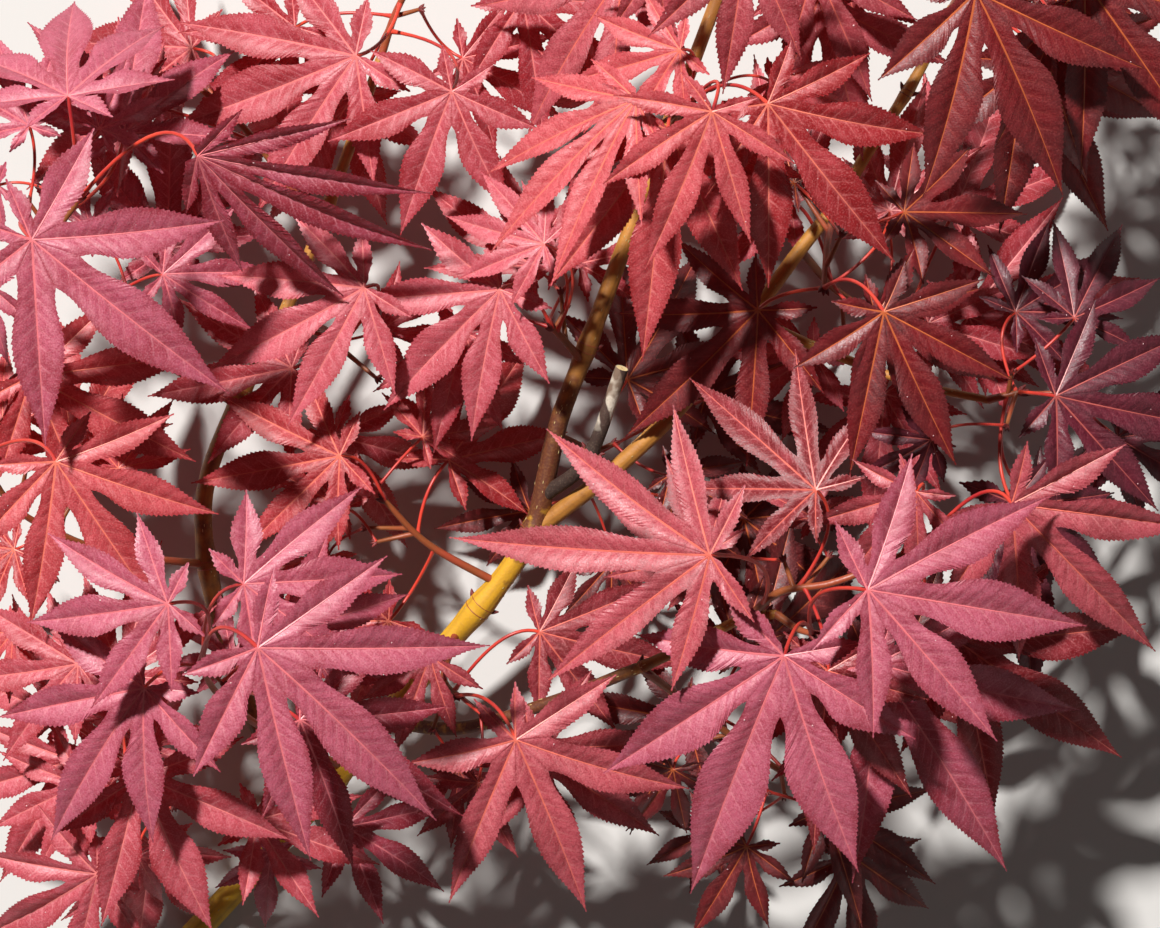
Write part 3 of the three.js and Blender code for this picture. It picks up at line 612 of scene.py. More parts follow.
class Wire:
    """A value in a shader that takes the usual operators and adds Math nodes for them."""

    def __init__(self, paint, socket):
        self.paint, self.socket = paint, socket

    def math(self, operation, a, b):
        return self.paint.node("ShaderNodeMath", {"operation": operation}, {0: a, 1: b})

    def alone(self, operation):
        return self.math(operation, self, 0.0)

    def __add__(self, other):
        return self.math("ADD", self, other)

    def __radd__(self, other):
        return self.math("ADD", other, self)

    def __sub__(self, other):
        return self.math("SUBTRACT", self, other)

    def __rsub__(self, other):
        return self.math("SUBTRACT", other, self)

    def __mul__(self, other):
        return self.math("MULTIPLY", self, other)

    def __rmul__(self, other):
        return self.math("MULTIPLY", other, self)

    def __truediv__(self, other):
        return self.math("DIVIDE", self, other)

    def __pow__(self, other):
        return self.math("POWER", self, other)


class Paint:
    """A material in the making."""

    def __init__(self, name):
        self.material = bpy.data.materials.new(name)
        self.material.use_nodes = True
        self.tree = self.material.node_tree
        self.tree.nodes.clear()

    def node(self, kind, settings=None, sockets=None, out=0):
        """Adds a node whose inputs are given as values or wires."""
        plain = {key: value.socket if isinstance(value, Wire) else value for key, value in (sockets or {}).items()}
        return Wire(self, add_node(self.tree, kind, settings, plain).outputs[out])

    def place(self):
        return self.node("ShaderNodeTexCoord", out="Object")

    def noise(self, scale, detail=2.0, roughness=0.5, place=None):
        return self.node("ShaderNodeTexNoise", None, {
            "Vector": place or self.place(), "Scale": scale, "Detail": detail, "Roughness": roughness})

    def mark(self, name):
        """A number that the mesh carries at each of its points."""
        return self.node("ShaderNodeAttribute", {"attribute_name": name}, out="Fac")

    def mix(self, share, a, b):
        """A colour that is a where the share is 0 and b where it is 1."""
        return self.node("ShaderNodeMix", {"data_type": "RGBA", "clamp_factor": True},
                         {0: share, 6: a, 7: b}, out=2)

    def ramp(self, value, stops):
        """A colour by its place between stops, each given as a place and a colour."""
        node = add_node(self.tree, "ShaderNodeValToRGB", None, {"Fac": value.socket})
        elements = node.color_ramp.elements
        while len(elements) < len(stops):
            elements.new(0.5)
        for element, (position, colour) in zip(elements, stops):
            element.position, element.color = position, colour
        return Wire(self, node.outputs[0])

    def bump(self, height, distance, strength=1.0):
        return self.node("ShaderNodeBump", None, {"Height": height, "Distance": distance, "Strength": strength})

    def sawn_face(self, base):
        """Pale wood with growth rings and a darker pith where the mark says that a limb is sawn."""
        sawn = self.mark("sawn")
        rings = self.noise(300.0, 2.0) * 0.6 + (sawn * 40.0).alone("SINE") * 0.3
        wood = self.mix(rings, srgb(216, 196, 144), srgb(180, 150, 98))
        wood = self.mix((sawn - 1.8) * 12.0, wood, srgb(116, 82, 50))
        return self.mix((sawn - 0.6) * 6.0, base, wood)

    def finish(self, surface):
        add_node(self.tree, "ShaderNodeOutputMaterial", None, {"Surface": surface.socket})
        return self.material


def srgb(r, g, b):
    """A colour given as 0 to 255 on the screen."""
    linear = [c / 255 / 12.92 if c < 10 else ((c / 255 + 0.055) / 1.055)**2.4 for c in (r, g, b)]
    return (*linear, 1.0)


# Finishes

# Each tint of leaf: lit face, deeper face (painted shade where the shade mark mixes it in, and the colour of dark
# wrinkles and grain), side veins, light through the blade
TINTS = {
    "mauve": ((194, 96, 120), (142, 30, 50), (222, 142, 154), (220, 10, 20)),
    "rose": ((206, 98, 112), (156, 32, 44), (226, 146, 152), (230, 14, 22)),
    "coral": ((208, 90, 98), (150, 20, 28), (228, 136, 134), (234, 14, 16)),
    "crimson": ((194, 84, 96), (120, 12, 24), (214, 126, 128), (212, 6, 12)),
    # The maroon tint is partly painted shade: darker than the leaves' own red, for sprays that lie in shade.
    "maroon": ((128, 22, 30), (76, 3, 10), (166, 66, 60), (188, 3, 7)),
    "purple": ((106, 24, 46), (64, 6, 24), (148, 62, 76), (174, 3, 16)),
}
RIB_TINTS = {
    "mauve": (222, 116, 122), "rose": (228, 126, 122), "coral": (230, 122, 102),
    # The maroon ribs' orange is partly painted shade: it is how ribs look on leaves in shade.
    "crimson": (218, 108, 92), "maroon": (198, 100, 56), "purple": (178, 86, 80),
}
THROUGH = 0.33  # share of a blade's light that comes through it


def leaf_finish(tint):
    """A blade: satin and mottled, mixed from its lit face towards its deeper face as painted shade, with paler
    veins and dark wrinkles, and some light that comes through.
    """
    lit, deep_and_painted_shade, vein, glow = (srgb(*colour) for colour in TINTS[tint])
    paint = Paint("leaf_" + tint)
    patches = paint.noise(85.0, 1.0)
    wrinkles = paint.noise(420.0, 2.0, 0.6)
    grain = paint.noise(2500.0, 0.0)
    ridges = (wrinkles - 0.5).alone("ABSOLUTE")
    shade = paint.mark("shade")
    rim = paint.mark("rim")
    veins = paint.mark("vein")
    under = paint.mark("under")
    # Painted shade: the shade mark mixes the lit face towards the deeper one. The rim mark and the mottling add
    # the blade's own darker edges, tips and patches.
    base = paint.mix(shade * 0.5 + rim * 0.4 + (patches - 0.5) * 1.7 + (wrinkles - 0.5) * 0.9, lit, deep_and_painted_shade)
    base = paint.mix((veins**3.0) * 0.62 + under * 0.3, base, vein)
    base = paint.mix((0.03 - ridges) * 17.0, base, deep_and_painted_shade)
    base = paint.mix((grain - 0.5) * 1.1, base, vein)
    base = paint.mix((0.5 - grain) * 0.9, base, deep_and_painted_shade)
    rough = 0.56 + (patches - 0.5) * 0.3 + (grain - 0.5) * 0.3
    normal = paint.bump(grain * 0.3 + wrinkles, 0.00017)
    face = paint.node("ShaderNodeBsdfPrincipled", None, {
        "Base Color": base, "Roughness": rough, "Specular IOR Level": 0.95, "Normal": normal})
    through = paint.node("ShaderNodeBsdfTranslucent", None, {"Color": glow, "Normal": normal})
    return paint.finish(paint.node("ShaderNodeMixShader", None, {0: THROUGH, 1: face, 2: through}))


def plain_finish(name, colour, other, scale, rough, relief=0.0):
    """A finish that wavers between two colours, with fine relief."""
    paint = Paint(name)
    patches = paint.noise(scale, 3.0)
    grain = paint.noise(scale * 9, 2.0)
    base = paint.mix((patches - 0.5) * 2.4 + 0.5, srgb(*colour), srgb(*other))
    sockets = {"Base Color": base, "Roughness": rough + (grain - 0.5) * 0.2}
    if relief:
        sockets["Normal"] = paint.bump(grain, relief)
    return paint.finish(paint.node("ShaderNodeBsdfPrincipled", None, sockets))


def bark_finish():
    """Young bark: yellow near the foot, dark brown above it, partly as painted shade where leaves shade the stem,
    golden further up, and darker in the furrows.
    """
    paint = Paint("bark")
    streaks = paint.noise(260.0, 3.0)
    grain = paint.noise(1500.0, 2.0)
    height = paint.mark("grown")
    furrow = paint.mark("furrow")
    # The dark brown stretch between 0.36 and 0.48 is partly painted shade, where the stem lies under leaves.
    along = paint.ramp(height + (streaks - 0.5) * 0.25, [
        (0.0, srgb(196, 152, 26)), (0.31, srgb(200, 150, 30)), (0.36, srgb(92, 44, 20)),
        (0.48, srgb(84, 38, 18)), (0.6, srgb(160, 106, 38)), (0.72, srgb(182, 124, 46)), (1.0, srgb(142, 78, 42))])
    base = paint.mix(furrow * 0.6, along, srgb(66, 40, 26))
    base = paint.mix((grain - 0.45) * 0.8, base, srgb(158, 112, 56))
    base = paint.sawn_face(base)
    return paint.finish(paint.node("ShaderNodeBsdfPrincipled", None, {
        "Base Color": base, "Roughness": 0.5 + streaks * 0.2, "Normal": paint.bump(grain, 0.0001)}))


def stub_finish():
    """A dead twig: pale grey with torn dark bark that winds round it, and straw-coloured on the cut."""
    paint = Paint("cut_wood")
    height = paint.mark("grown")
    streaks = paint.noise(190.0, 2.0, 0.6)
    grain = paint.noise(1800.0, 2.0)
    winding = paint.mark("winding")
    base = paint.mix((streaks - 0.5) * 9.0, srgb(184, 174, 158), srgb(112, 92, 76))
    base = paint.mix((winding - 0.66 + (streaks - 0.5) * 0.5) * 9.0, base, srgb(62, 42, 34))
    base = paint.mix((0.76 - height + (streaks - 0.5) * 0.2) * 12.0, base, srgb(50, 32, 24))
    base = paint.mix((grain - 0.5) * 1.4, base, srgb(110, 94, 78))
    base = paint.sawn_face(base)
    return paint.finish(paint.node("ShaderNodeBsdfPrincipled", None, {
        "Base Color": base, "Roughness": 0.75 + (grain - 0.5) * 0.3,
        "Normal": paint.bump(grain * 0.5 + streaks, 0.0003)}))


# Meshes from arrays

def in_frame(places):
    """Places in metres in the model's frame, from layout millimetres."""
    return (np.asarray(places) + HOME) * MM


def new_object(name, mesh, material):
    mesh.materials.append(material)
    return link_object(name, mesh)


def mesh_of(name, points, faces):
    """A mesh from places in layout millimetres and a list of arrays of corners, 3 or 4 to a face."""
    mesh = bpy.data.meshes.new(name)
    points = in_frame(points)
    corners = np.concatenate([f.ravel() for f in faces]).astype(np.int32)
    sizes = np.concatenate([np.full(len(f), f.shape[1]) for f in faces]).astype(np.int32)
    starts = np.concatenate([[0], np.cumsum(sizes)[:-1]]).astype(np.int32)
    mesh.vertices.add(len(points))
    mesh.vertices.foreach_set("co", points.astype(np.float32).ravel())
    mesh.loops.add(len(corners))
    mesh.loops.foreach_set("vertex_index", corners)
    mesh.polygons.add(len(sizes))
    mesh.polygons.foreach_set("loop_start", starts)
    mesh.polygons.foreach_set("loop_total", sizes)
    mesh.update(calc_edges=True)
    return mesh


def soften(mesh, angle):
    """Smooth faces, with sharp edges where they meet at more than an angle."""
    mesh.polygons.foreach_set("use_smooth", np.ones(len(mesh.polygons), bool))
    mesh.set_sharp_from_angle(angle=math.radians(angle))


def write_mark(mesh, name, values):
    mesh.attributes.new(name, "FLOAT", "POINT").data.foreach_set("value", np.asarray(values, np.float32))


# Blades

TOOTH_STEP = 0.63  # from a tooth's foot to its tip along the edge
TOOTH_DEPTH = 0.46
TOOTH_SIZES = (1.15, 0.8)  # of the tooth at a side vein, and of the others
TOOTH_LEAN = 0.6
TOOTH_FREE = 0.12  # share of a lobe over which its teeth grow to their full depth
TOOTH_LEAST, TOOTH_POWER = 0.12, 0.6  # how they get smaller where the lobe is narrow
VEIN_ROWS = 6  # rows from one side vein to the next: three teeth
VEIN_SLANT = 0.9  # how far forward a side vein runs for each millimetre outwards
QUILTING = 0.15  # rise of the blade between its side veins
QUILT_WIDTH = 4  # half width of a lobe from which it has its full depth
QUILT_POWER = 0.7  # how evenly it is spread from the rib to the edge
DOME = 0.1  # and between its rib and its edge
EDGE_WAVE = (0.25, 0.6)
EDGE_WAVES = 9
CREASE = 0.36  # rise of the blade for each millimetre away from its rib
BROADEST = 0.5  # share of a lobe's length where it is broadest
SLENDER = 0.87  # and how broad it is there, beside the solid's plainer outline
WAIST = 0.8  # how far it draws in above the notch, beside its half width at the notch
POINTED = 1.5  # how early it narrows towards its tip
LOBE_GAP = 0.07  # share of the room up to the next lobe that stays open
WIDE_TURN = 1.2  # half turn to the next lobe, in radians, beyond which it isn't in the way
TEETH_LENGTH, QUILT_LENGTH = 45, 60  # of a leaf whose teeth and quilting have their full depth
BLADE = 0.32  # thickness
COLUMNS = np.array([0.3, 0.66, 1.0])  # shares of the way from the rib to the edge
BASE_ROWS = 4  # rows up to the notch
TIP_ROWS = 4  # rows at the tip that bear no dust
GAP_OPENING, NOTCH_FADE = 8, 3  # a lobe's length over the stretch where its gap opens, or the notch's jump fades
VEIN_FADE = (1.0, 0.75, 0.0)  # mark of a side vein by the rib, in the middle and at the edge
FEWEST_ROWS = 8
FLOOR_SOFTNESS = 1.0
TIP_DARK = 0.9  # where a lobe's tip begins to darken


def lobe_width(width, notch_share, notch_off, share):
    """Half width of a lobe at shares of its length beyond the notch."""
    x = np.clip((share - notch_share) / (BROADEST - notch_share), 0, 1)
    rising = notch_off + (width - notch_off) * np.sin(math.pi / 2 * x)**2 - WAIST * notch_off * x * (1 - x)**2
    y = np.clip((share - BROADEST) / (1 - BROADEST), 0, 1)
    falling = width * np.cos(math.pi / 2 * y)**POINTED
    return np.where(share < BROADEST, rising, falling)


def lobe_sides(leaf, i):
    """Both sides of a lobe: which way, half the turn to the next lobe, the notch's distance, and its droop."""
    sides = []
    for way in (1, -1):
        j = i + way
        if 0 <= j < 7:
            half = abs(leaf.turn[j] - leaf.turn[i]) / 2
            sides.append((way, half, NOTCH * math.sqrt(leaf.reach[i] * leaf.reach[j]),
                          (leaf.droop[i] + leaf.droop[j]) / 2))
        else:
            half = (math.pi - abs(leaf.turn[i])) / 2
            sides.append((way, half, HEEL * leaf.length, leaf.droop[i]))
    return sides


def tooth_offsets(leaf, phase, start, share, w, width):
    """How far each row's place on the edge is moved outwards, and along the lobe, by its tooth."""
    tooth = (phase % 2 == 1) & (phase > 0) & (phase < phase[-1])
    depth = TOOTH_DEPTH * np.where(phase % VEIN_ROWS == VEIN_ROWS - 1, *TOOTH_SIZES)
    depth = depth * np.clip(w / width + TOOTH_LEAST, 0, 1)**TOOTH_POWER
    depth = depth * np.clip((share - start) / TOOTH_FREE, 0, 1) * min(1, leaf.length / TEETH_LENGTH)
    return np.where(tooth, depth, 0), np.where(tooth, TOOTH_LEAN * ((1 - start) / phase[-1]), 0)


def lobe_edge(leaf, i, side, width, k, waver, swing):
    """The edge on one side of a lobe, row by row: out to the notch, then toothed and wavy up to the tip."""
    way, half, notch, droop = side
    reach, phase = leaf.reach[i], k - BASE_ROWS
    q = np.clip(phase / phase[-1], 0, 1)
    angle = leaf.turn[i] + way * half
    d = notch * np.minimum(k / BASE_ROWS, 1)
    lift = CREASE * d * math.sin(half) - droop * d**2 / leaf.length
    base = leaf.place(d * math.cos(angle), d * math.sin(angle), lift)
    start, off0 = notch * math.cos(half) / reach, notch * math.sin(half)
    share = start + (1 - start) * q
    top = min(width, MIDWAY * WIDEST * reach * math.tan(half)) if half < WIDE_TURN else width
    w = lobe_width(top, start, off0, share)
    depth, lean = tooth_offsets(leaf, phase, start, share, w, width)
    far = share + lean
    room = far * reach * math.tan(min(half, WIDE_TURN)) * (1 - LOBE_GAP * np.clip(q * GAP_OPENING, 0, 1))
    off = np.minimum(w + depth, np.where(q > 0, room, np.inf))
    wave = swing * np.sin(waver + way + share * EDGE_WAVES) * np.sin(math.pi * q) * w / width
    edge = leaf.on_lobe(i, far * reach, way * off, wave, CREASE)
    notch_lift = CREASE * off0 - droop * notch**2 / leaf.length
    jump = leaf.place(notch * math.cos(angle), notch * math.sin(angle), notch_lift)
    jump = jump - leaf.on_lobe(i, start * reach, way * off0, 0, CREASE)
    edge = edge + jump * (np.clip(1 - q * NOTCH_FADE, 0, 1)**2)[:, None]
    edge = np.where((k <= BASE_ROWS)[:, None], base, edge)
    edge[-1] = leaf.on_lobe(i, reach, 0, 0)
    return edge


def lobe_sheet(leaf, i, rng, slim):
    """Rows of places across one lobe, from its foot to its tip: places, marks of veins, and the rib's places."""
    reach, width = leaf.reach[i], SLENDER * slim * leaf.width[i]
    free = max(FEWEST_ROWS, VEIN_ROWS * round((1 - NOTCH) * reach / TOOTH_STEP / VEIN_ROWS))
    k = np.arange(BASE_ROWS + free + 1)
    phase = k - BASE_ROWS
    sides = lobe_sides(leaf, i)
    notch_share = np.mean([notch * math.cos(half) for _, half, notch, _ in sides]) / reach
    notch_off = np.mean([notch * math.sin(half) for _, half, notch, _ in sides])
    nominal = notch_share + (1 - notch_share) * np.clip(phase / free, 0, 1)
    rib_share = nominal - VEIN_SLANT * lobe_width(width, notch_share, notch_off, nominal) / reach
    rib_share[:BASE_ROWS + 1] = rib_share[BASE_ROWS] * k[:BASE_ROWS + 1] / BASE_ROWS
    rib_share[-1] = 1
    rib = leaf.on_lobe(i, rib_share * reach, 0, 0)
    vein = (phase % VEIN_ROWS == 0) & (phase >= 0) | (k == BASE_ROWS // 2)
    crest = phase % VEIN_ROWS == VEIN_ROWS // 2
    waver = rng.uniform(0, 2 * math.pi)
    swing = rng.uniform(*EDGE_WAVE)
    columns = {}
    for side in sides:
        way = side[0]
        edge = lobe_edge(leaf, i, side, width, k, waver, swing)
        spread = np.linalg.norm(edge - rib, axis=1)
        for f in COLUMNS[:-1]:
            quilt = QUILTING * (crest * 1.0 - vein * 1.0) * math.sin(math.pi * f)**QUILT_POWER
            quilt = quilt * np.clip(spread / QUILT_WIDTH, 0, 1) * min(1, leaf.length / QUILT_LENGTH)
            raised = (DOME * spread * 4 * f * (1 - f) + quilt)[:, None] * leaf.up
            columns[way * f] = rib + (edge - rib) * f + raised
        columns[way * 1.0] = edge
    order = [*COLUMNS[::-1], 0.0, *-COLUMNS]
    grid = np.stack([rib if c == 0 else columns[c] for c in order], axis=1)
    marks = vein[:, None] * np.array([*VEIN_FADE[::-1], 1.0, *VEIN_FADE])
    marks[:, len(COLUMNS)] = 1.0
    return grid, marks, rib


def shell_faces(first, rows, m):
    """A lobe's closed shell, its corners numbered from first: quads, triangles and the next free number."""
    t = first + np.arange((rows - 1) * m).reshape(rows - 1, m)
    b = t.copy()
    b[:, 1:-1] = first + t.size + np.arange((rows - 1) * (m - 2)).reshape(rows - 1, m - 2)
    t0 = first + t.size + (rows - 1) * (m - 2)
    b0, tip = t0 + 1, t0 + 2
    full = lambda n: np.full(m - 1, n)
    quads = [np.stack([t[:-1, :-1], t[:-1, 1:], t[1:, 1:], t[1:, :-1]], -1).reshape(-1, 4),
             np.stack([b[:-1, :-1], b[1:, :-1], b[1:, 1:], b[:-1, 1:]], -1).reshape(-1, 4)]
    tris = [np.stack([full(t0), t[0, 1:], t[0, :-1]], -1),
            np.stack([full(b0), b[0, :-1], b[0, 1:]], -1),
            np.stack([t[-1, :-1], t[-1, 1:], full(tip)], -1),
            np.stack([b[-1, 1:], b[-1, :-1], full(tip)], -1),
            np.array([[t0, t[0, 0], b0], [t[0, -1], t0, b0]])]
    return quads, tris, tip + 1


def blade_arrays(leaf, slim=1.0):
    """A blade as closed shells, one to a lobe: places, their marks, faces, ribs' lines and spots on top."""
    rng = np.random.default_rng(leaf.serial)
    points, quads, tris, ribs, spots = [], [], [], [], []
    marks = {"vein": [], "rim": [], "under": []}
    count = 0
    for i in range(7):
        grid, vein, rib = lobe_sheet(leaf, i, rng, slim)
        rows, m = grid.shape[0] - 1, grid.shape[1]
        top = grid[1:rows].reshape(-1, 3)
        under = (grid[1:rows, 1:-1] - BLADE * leaf.up).reshape(-1, 3)
        foot, tip = grid[0, m // 2], grid[rows, m // 2]
        points += [top, under, foot[None], (foot - BLADE * leaf.up)[None], tip[None]]
        marks["vein"] += [vein[1:rows].ravel(), vein[1:rows, 1:-1].ravel(), [1, 1, 0]]
        rim = np.repeat(np.clip((np.arange(1, rows) / rows - TIP_DARK) / (1 - TIP_DARK), 0, 1)[:, None], m, axis=1)
        rim[:, [0, -1]] = 1
        marks["rim"] += [rim.ravel(), rim[:, 1:-1].ravel(), [0, 0, 1]]
        marks["under"] += [np.zeros(top.shape[0]), np.ones(under.shape[0]), [0, 1, 0]]
        spots.append(grid[BASE_ROWS:rows - TIP_ROWS, 1:-1].reshape(-1, 3))
        own_quads, own_tris, count = shell_faces(count, rows, m)
        quads += own_quads
        tris += own_tris
        ribs.append(rib)
    points = np.concatenate(points)
    z = points[:, 2] - TIP_REST
    points[:, 2] = TIP_REST + (z + np.sqrt(z**2 + FLOOR_SOFTNESS)) / 2
    marks = {name: np.concatenate(values) for name, values in marks.items()}
    return points, marks, [np.concatenate(quads), np.concatenate(tris)], ribs, np.concatenate(spots)


# Tubes along lines, and small things on points, by Geometry Nodes

def make_tree(name, inputs, build):
    """A Geometry Nodes tree with named inputs, whose last step realizes instances and sets the material."""
    tree = bpy.data.node_groups.new(name, "GeometryNodeTree")
    face = tree.interface
    face.new_socket("Geometry", in_out="INPUT", socket_type="NodeSocketGeometry")
    for label, kind in inputs:
        face.new_socket(label, in_out="INPUT", socket_type=kind)
    face.new_socket("Finish", in_out="INPUT", socket_type="NodeSocketMaterial")
    face.new_socket("Geometry", in_out="OUTPUT", socket_type="NodeSocketGeometry")
    add = partial(add_node, tree)
    entry = add("NodeGroupInput").outputs
    real = add("GeometryNodeRealizeInstances", None, {"Geometry": build(add, entry)})
    dressed = add("GeometryNodeSetMaterial", None, {"Geometry": real.outputs[0], "Material": entry["Finish"]})
    add("NodeGroupOutput", None, {0: dressed.outputs[0]})
    return tree


def run_tree(name, tree, mesh, values, material):
    """The tree's result on a mesh, as a plain object."""
    carrier = link_object(name + "_carrier", mesh)
    modifier = carrier.modifiers.new("grow", "NODES")
    modifier.node_group = tree
    for item in tree.interface.items_tree:
        if item.in_out == "INPUT" and item.name in values:
            modifier[item.identifier] = values[item.name]
        elif item.in_out == "INPUT" and item.name == "Finish":
            modifier[item.identifier] = material
    graph = bpy.context.evaluated_depsgraph_get()
    made = bpy.data.meshes.new_from_object(carrier.evaluated_get(graph), depsgraph=graph)
    carrier.modifiers.clear()
    bpy.data.objects.remove(carrier)
    made.name = name
    if not made.materials:
        made.materials.append(material)
    return link_object(name, made)


def build_tubes(add, entry):
    """A ring swept along each line, as wide as the mark girth says, with closed ends."""
    lines = add("GeometryNodeMeshToCurve", None, {"Mesh": entry["Geometry"]})
    girth = add("GeometryNodeInputNamedAttribute", {"data_type": "FLOAT"}, {"Name": "girth"})
    ring = add("GeometryNodeCurvePrimitiveCircle", {"mode": "RADIUS"},
               {"Resolution": entry["Sides"], "Radius": 1.0})
    return add("GeometryNodeCurveToMesh", None, {
        "Curve": lines.outputs[0], "Profile Curve": ring.outputs["Curve"],
        "Scale": girth.outputs[0], "Fill Caps": True}).outputs[0]


def build_beads(add, entry):
    """A small ball, thinner towards its top, on each point, turned and sized by the marks aim and size."""
    ball = add("GeometryNodeMeshUVSphere", None, {
        "Segments": entry["Segments"], "Rings": entry["Rings"], "Radius": 1.0})
    place = add("GeometryNodeInputPosition")
    parts = add("ShaderNodeSeparateXYZ", None, {0: place.outputs[0]})
    up = add("ShaderNodeMath", {"operation": "MULTIPLY"}, {0: parts.outputs["Z"], 1: entry["Taper"]})
    thin = add("ShaderNodeMath", {"operation": "SUBTRACT"}, {0: 1.0, 1: up.outputs[0]})
    side = add("ShaderNodeCombineXYZ", None, {"X": thin.outputs[0], "Y": thin.outputs[0], "Z": 1.0})
    tapered = add("ShaderNodeVectorMath", {"operation": "MULTIPLY"}, {0: place.outputs[0], 1: side.outputs[0]})
    drop = add("GeometryNodeSetPosition", None, {"Geometry": ball.outputs["Mesh"], "Position": tapered.outputs[0]})
    aim = add("GeometryNodeInputNamedAttribute", {"data_type": "FLOAT_VECTOR"}, {"Name": "aim"})
    turn = add("FunctionNodeAlignRotationToVector", {"axis": "Z"}, {"Vector": aim.outputs[0]})
    size = add("GeometryNodeInputNamedAttribute", {"data_type": "FLOAT_VECTOR"}, {"Name": "size"})
    return add("GeometryNodeInstanceOnPoints", None, {
        "Points": entry["Geometry"], "Instance": drop.outputs[0],
        "Rotation": turn.outputs[0], "Scale": size.outputs[0]}).outputs[0]


tube_tree = make_tree("tubes_along_lines", [("Sides", "NodeSocketInt")], build_tubes)
bead_tree = make_tree("beads_on_points", [
    ("Segments", "NodeSocketInt"), ("Rings", "NodeSocketInt"), ("Taper", "NodeSocketFloat")], build_beads)


SOFT_ANGLE = 60  # between faces that are shaded as one


def tubes(name, lines, sides, material):
    """Closed tubes along lines, each given as places and radii in millimetres, and whether it is a ring."""
    points, girths, edges, count = [], [], [], 0
    for places, radii, *ring in lines:
        n = len(places)
        points.append(places)
        girths.append(radii)
        edges += [(count + k, count + k + 1) for k in range(n - 1)]
        if ring:
            edges.append((count + n - 1, count))
        count += n
    mesh = bpy.data.meshes.new(name + "_lines")
    mesh.from_pydata(in_frame(np.concatenate(points)).tolist(), edges, [])
    write_mark(mesh, "girth", np.concatenate(girths) * MM)
    thing = run_tree(name, tube_tree, mesh, {"Sides": sides}, material)
    soften(thing.data, SOFT_ANGLE)
    return thing


def beads(name, drops, taper, segments, rings, material):
    """Small drops, each given as its place, the way it points, and its half widths and half length."""
    places, aims, sizes = (np.array(column, float) for column in zip(*drops))
    mesh = bpy.data.meshes.new(name + "_points")
    mesh.from_pydata(in_frame(places).tolist(), [], [])
    for label, values in (("aim", aims), ("size", sizes * MM)):
        mark = mesh.attributes.new(label, "FLOAT_VECTOR", "POINT")
        mark.data.foreach_set("vector", values.astype(np.float32).ravel())
    thing = run_tree(name, bead_tree, mesh, {"Segments": segments, "Rings": rings, "Taper": taper}, material)
    soften(thing.data, SOFT_ANGLE)
    return thing


# Limbs

def frames_along(path, shares):
    """Centres, sides and tangents of rings along a path, turned as little as can be."""
    step = 1e-4
    centres = path.points(shares)
    tangents = [unit(path.at(min(1, s + step)) - path.at(max(0, s - step))) for s in shares]
    side = np.cross(tangents[0], (0, 0, 1) if abs(tangents[0][2]) < 0.9 else (1, 0, 0))
    sides = []
    for tangent in tangents:
        side = unit(side - tangent * (side @ tangent))
        sides.append(side)
    return centres, np.array(sides), np.array(tangents)


WINDING = 0.45  # turn of the torn bark round the stub for each millimetre along it
CUT_ENDS = {"main_stem": 0, "cut_stub": -1}  # which end is sawn flat; the others are rounded
CAP_RING = 0.86  # radius of the last ring of an end, beside the limb's
LIMB_SIDES = 28
RING_STEP = 0.8
FURROW_WAVES = (5, 8, 13)  # furrows side by side round a limb, in three layers
FURROW_DEPTH = 0.018  # of the radius
FURROW_DRIFT = (0.8, 11)  # how far furrows drift round the limb, in radians, and over what length
FURROW_BEAT = (0.6, 0.4, 5)  # their steady and their changing share, and over what length it changes
NODE_RIDGE = 0.05  # rise of a node's ridge and depth of the groove beside it, of the radius
RIDGE_PLACE, RIDGE_WIDTH, GROOVE_WIDTH = 0.9, 0.35, 0.5
CAP_RISES = (0.4, 0.6)  # how far the last ring and the end of a rounded end stand out, of the radius


def furrows(limb, shares, length, angles):
    """Fine lengthwise furrows that drift round a limb: between -1 in a furrow and 1 on a ridge."""
    rng = np.random.default_rng(len(limb.name) * 31 + LIMB_SIDES)
    run = shares[:, None] * length
    furrow = np.zeros((len(shares), len(angles)))
    for waves in FURROW_WAVES:
        phase, drift, beat = rng.uniform(0, 2 * math.pi, 3)
        turn = waves * angles[None] + phase + FURROW_DRIFT[0] * np.sin(run / FURROW_DRIFT[1] + drift)
        strength = FURROW_BEAT[0] + FURROW_BEAT[1] * np.sin(run / FURROW_BEAT[2] + beat)
        furrow += np.sin(turn) * strength / len(FURROW_WAVES)
    return furrow


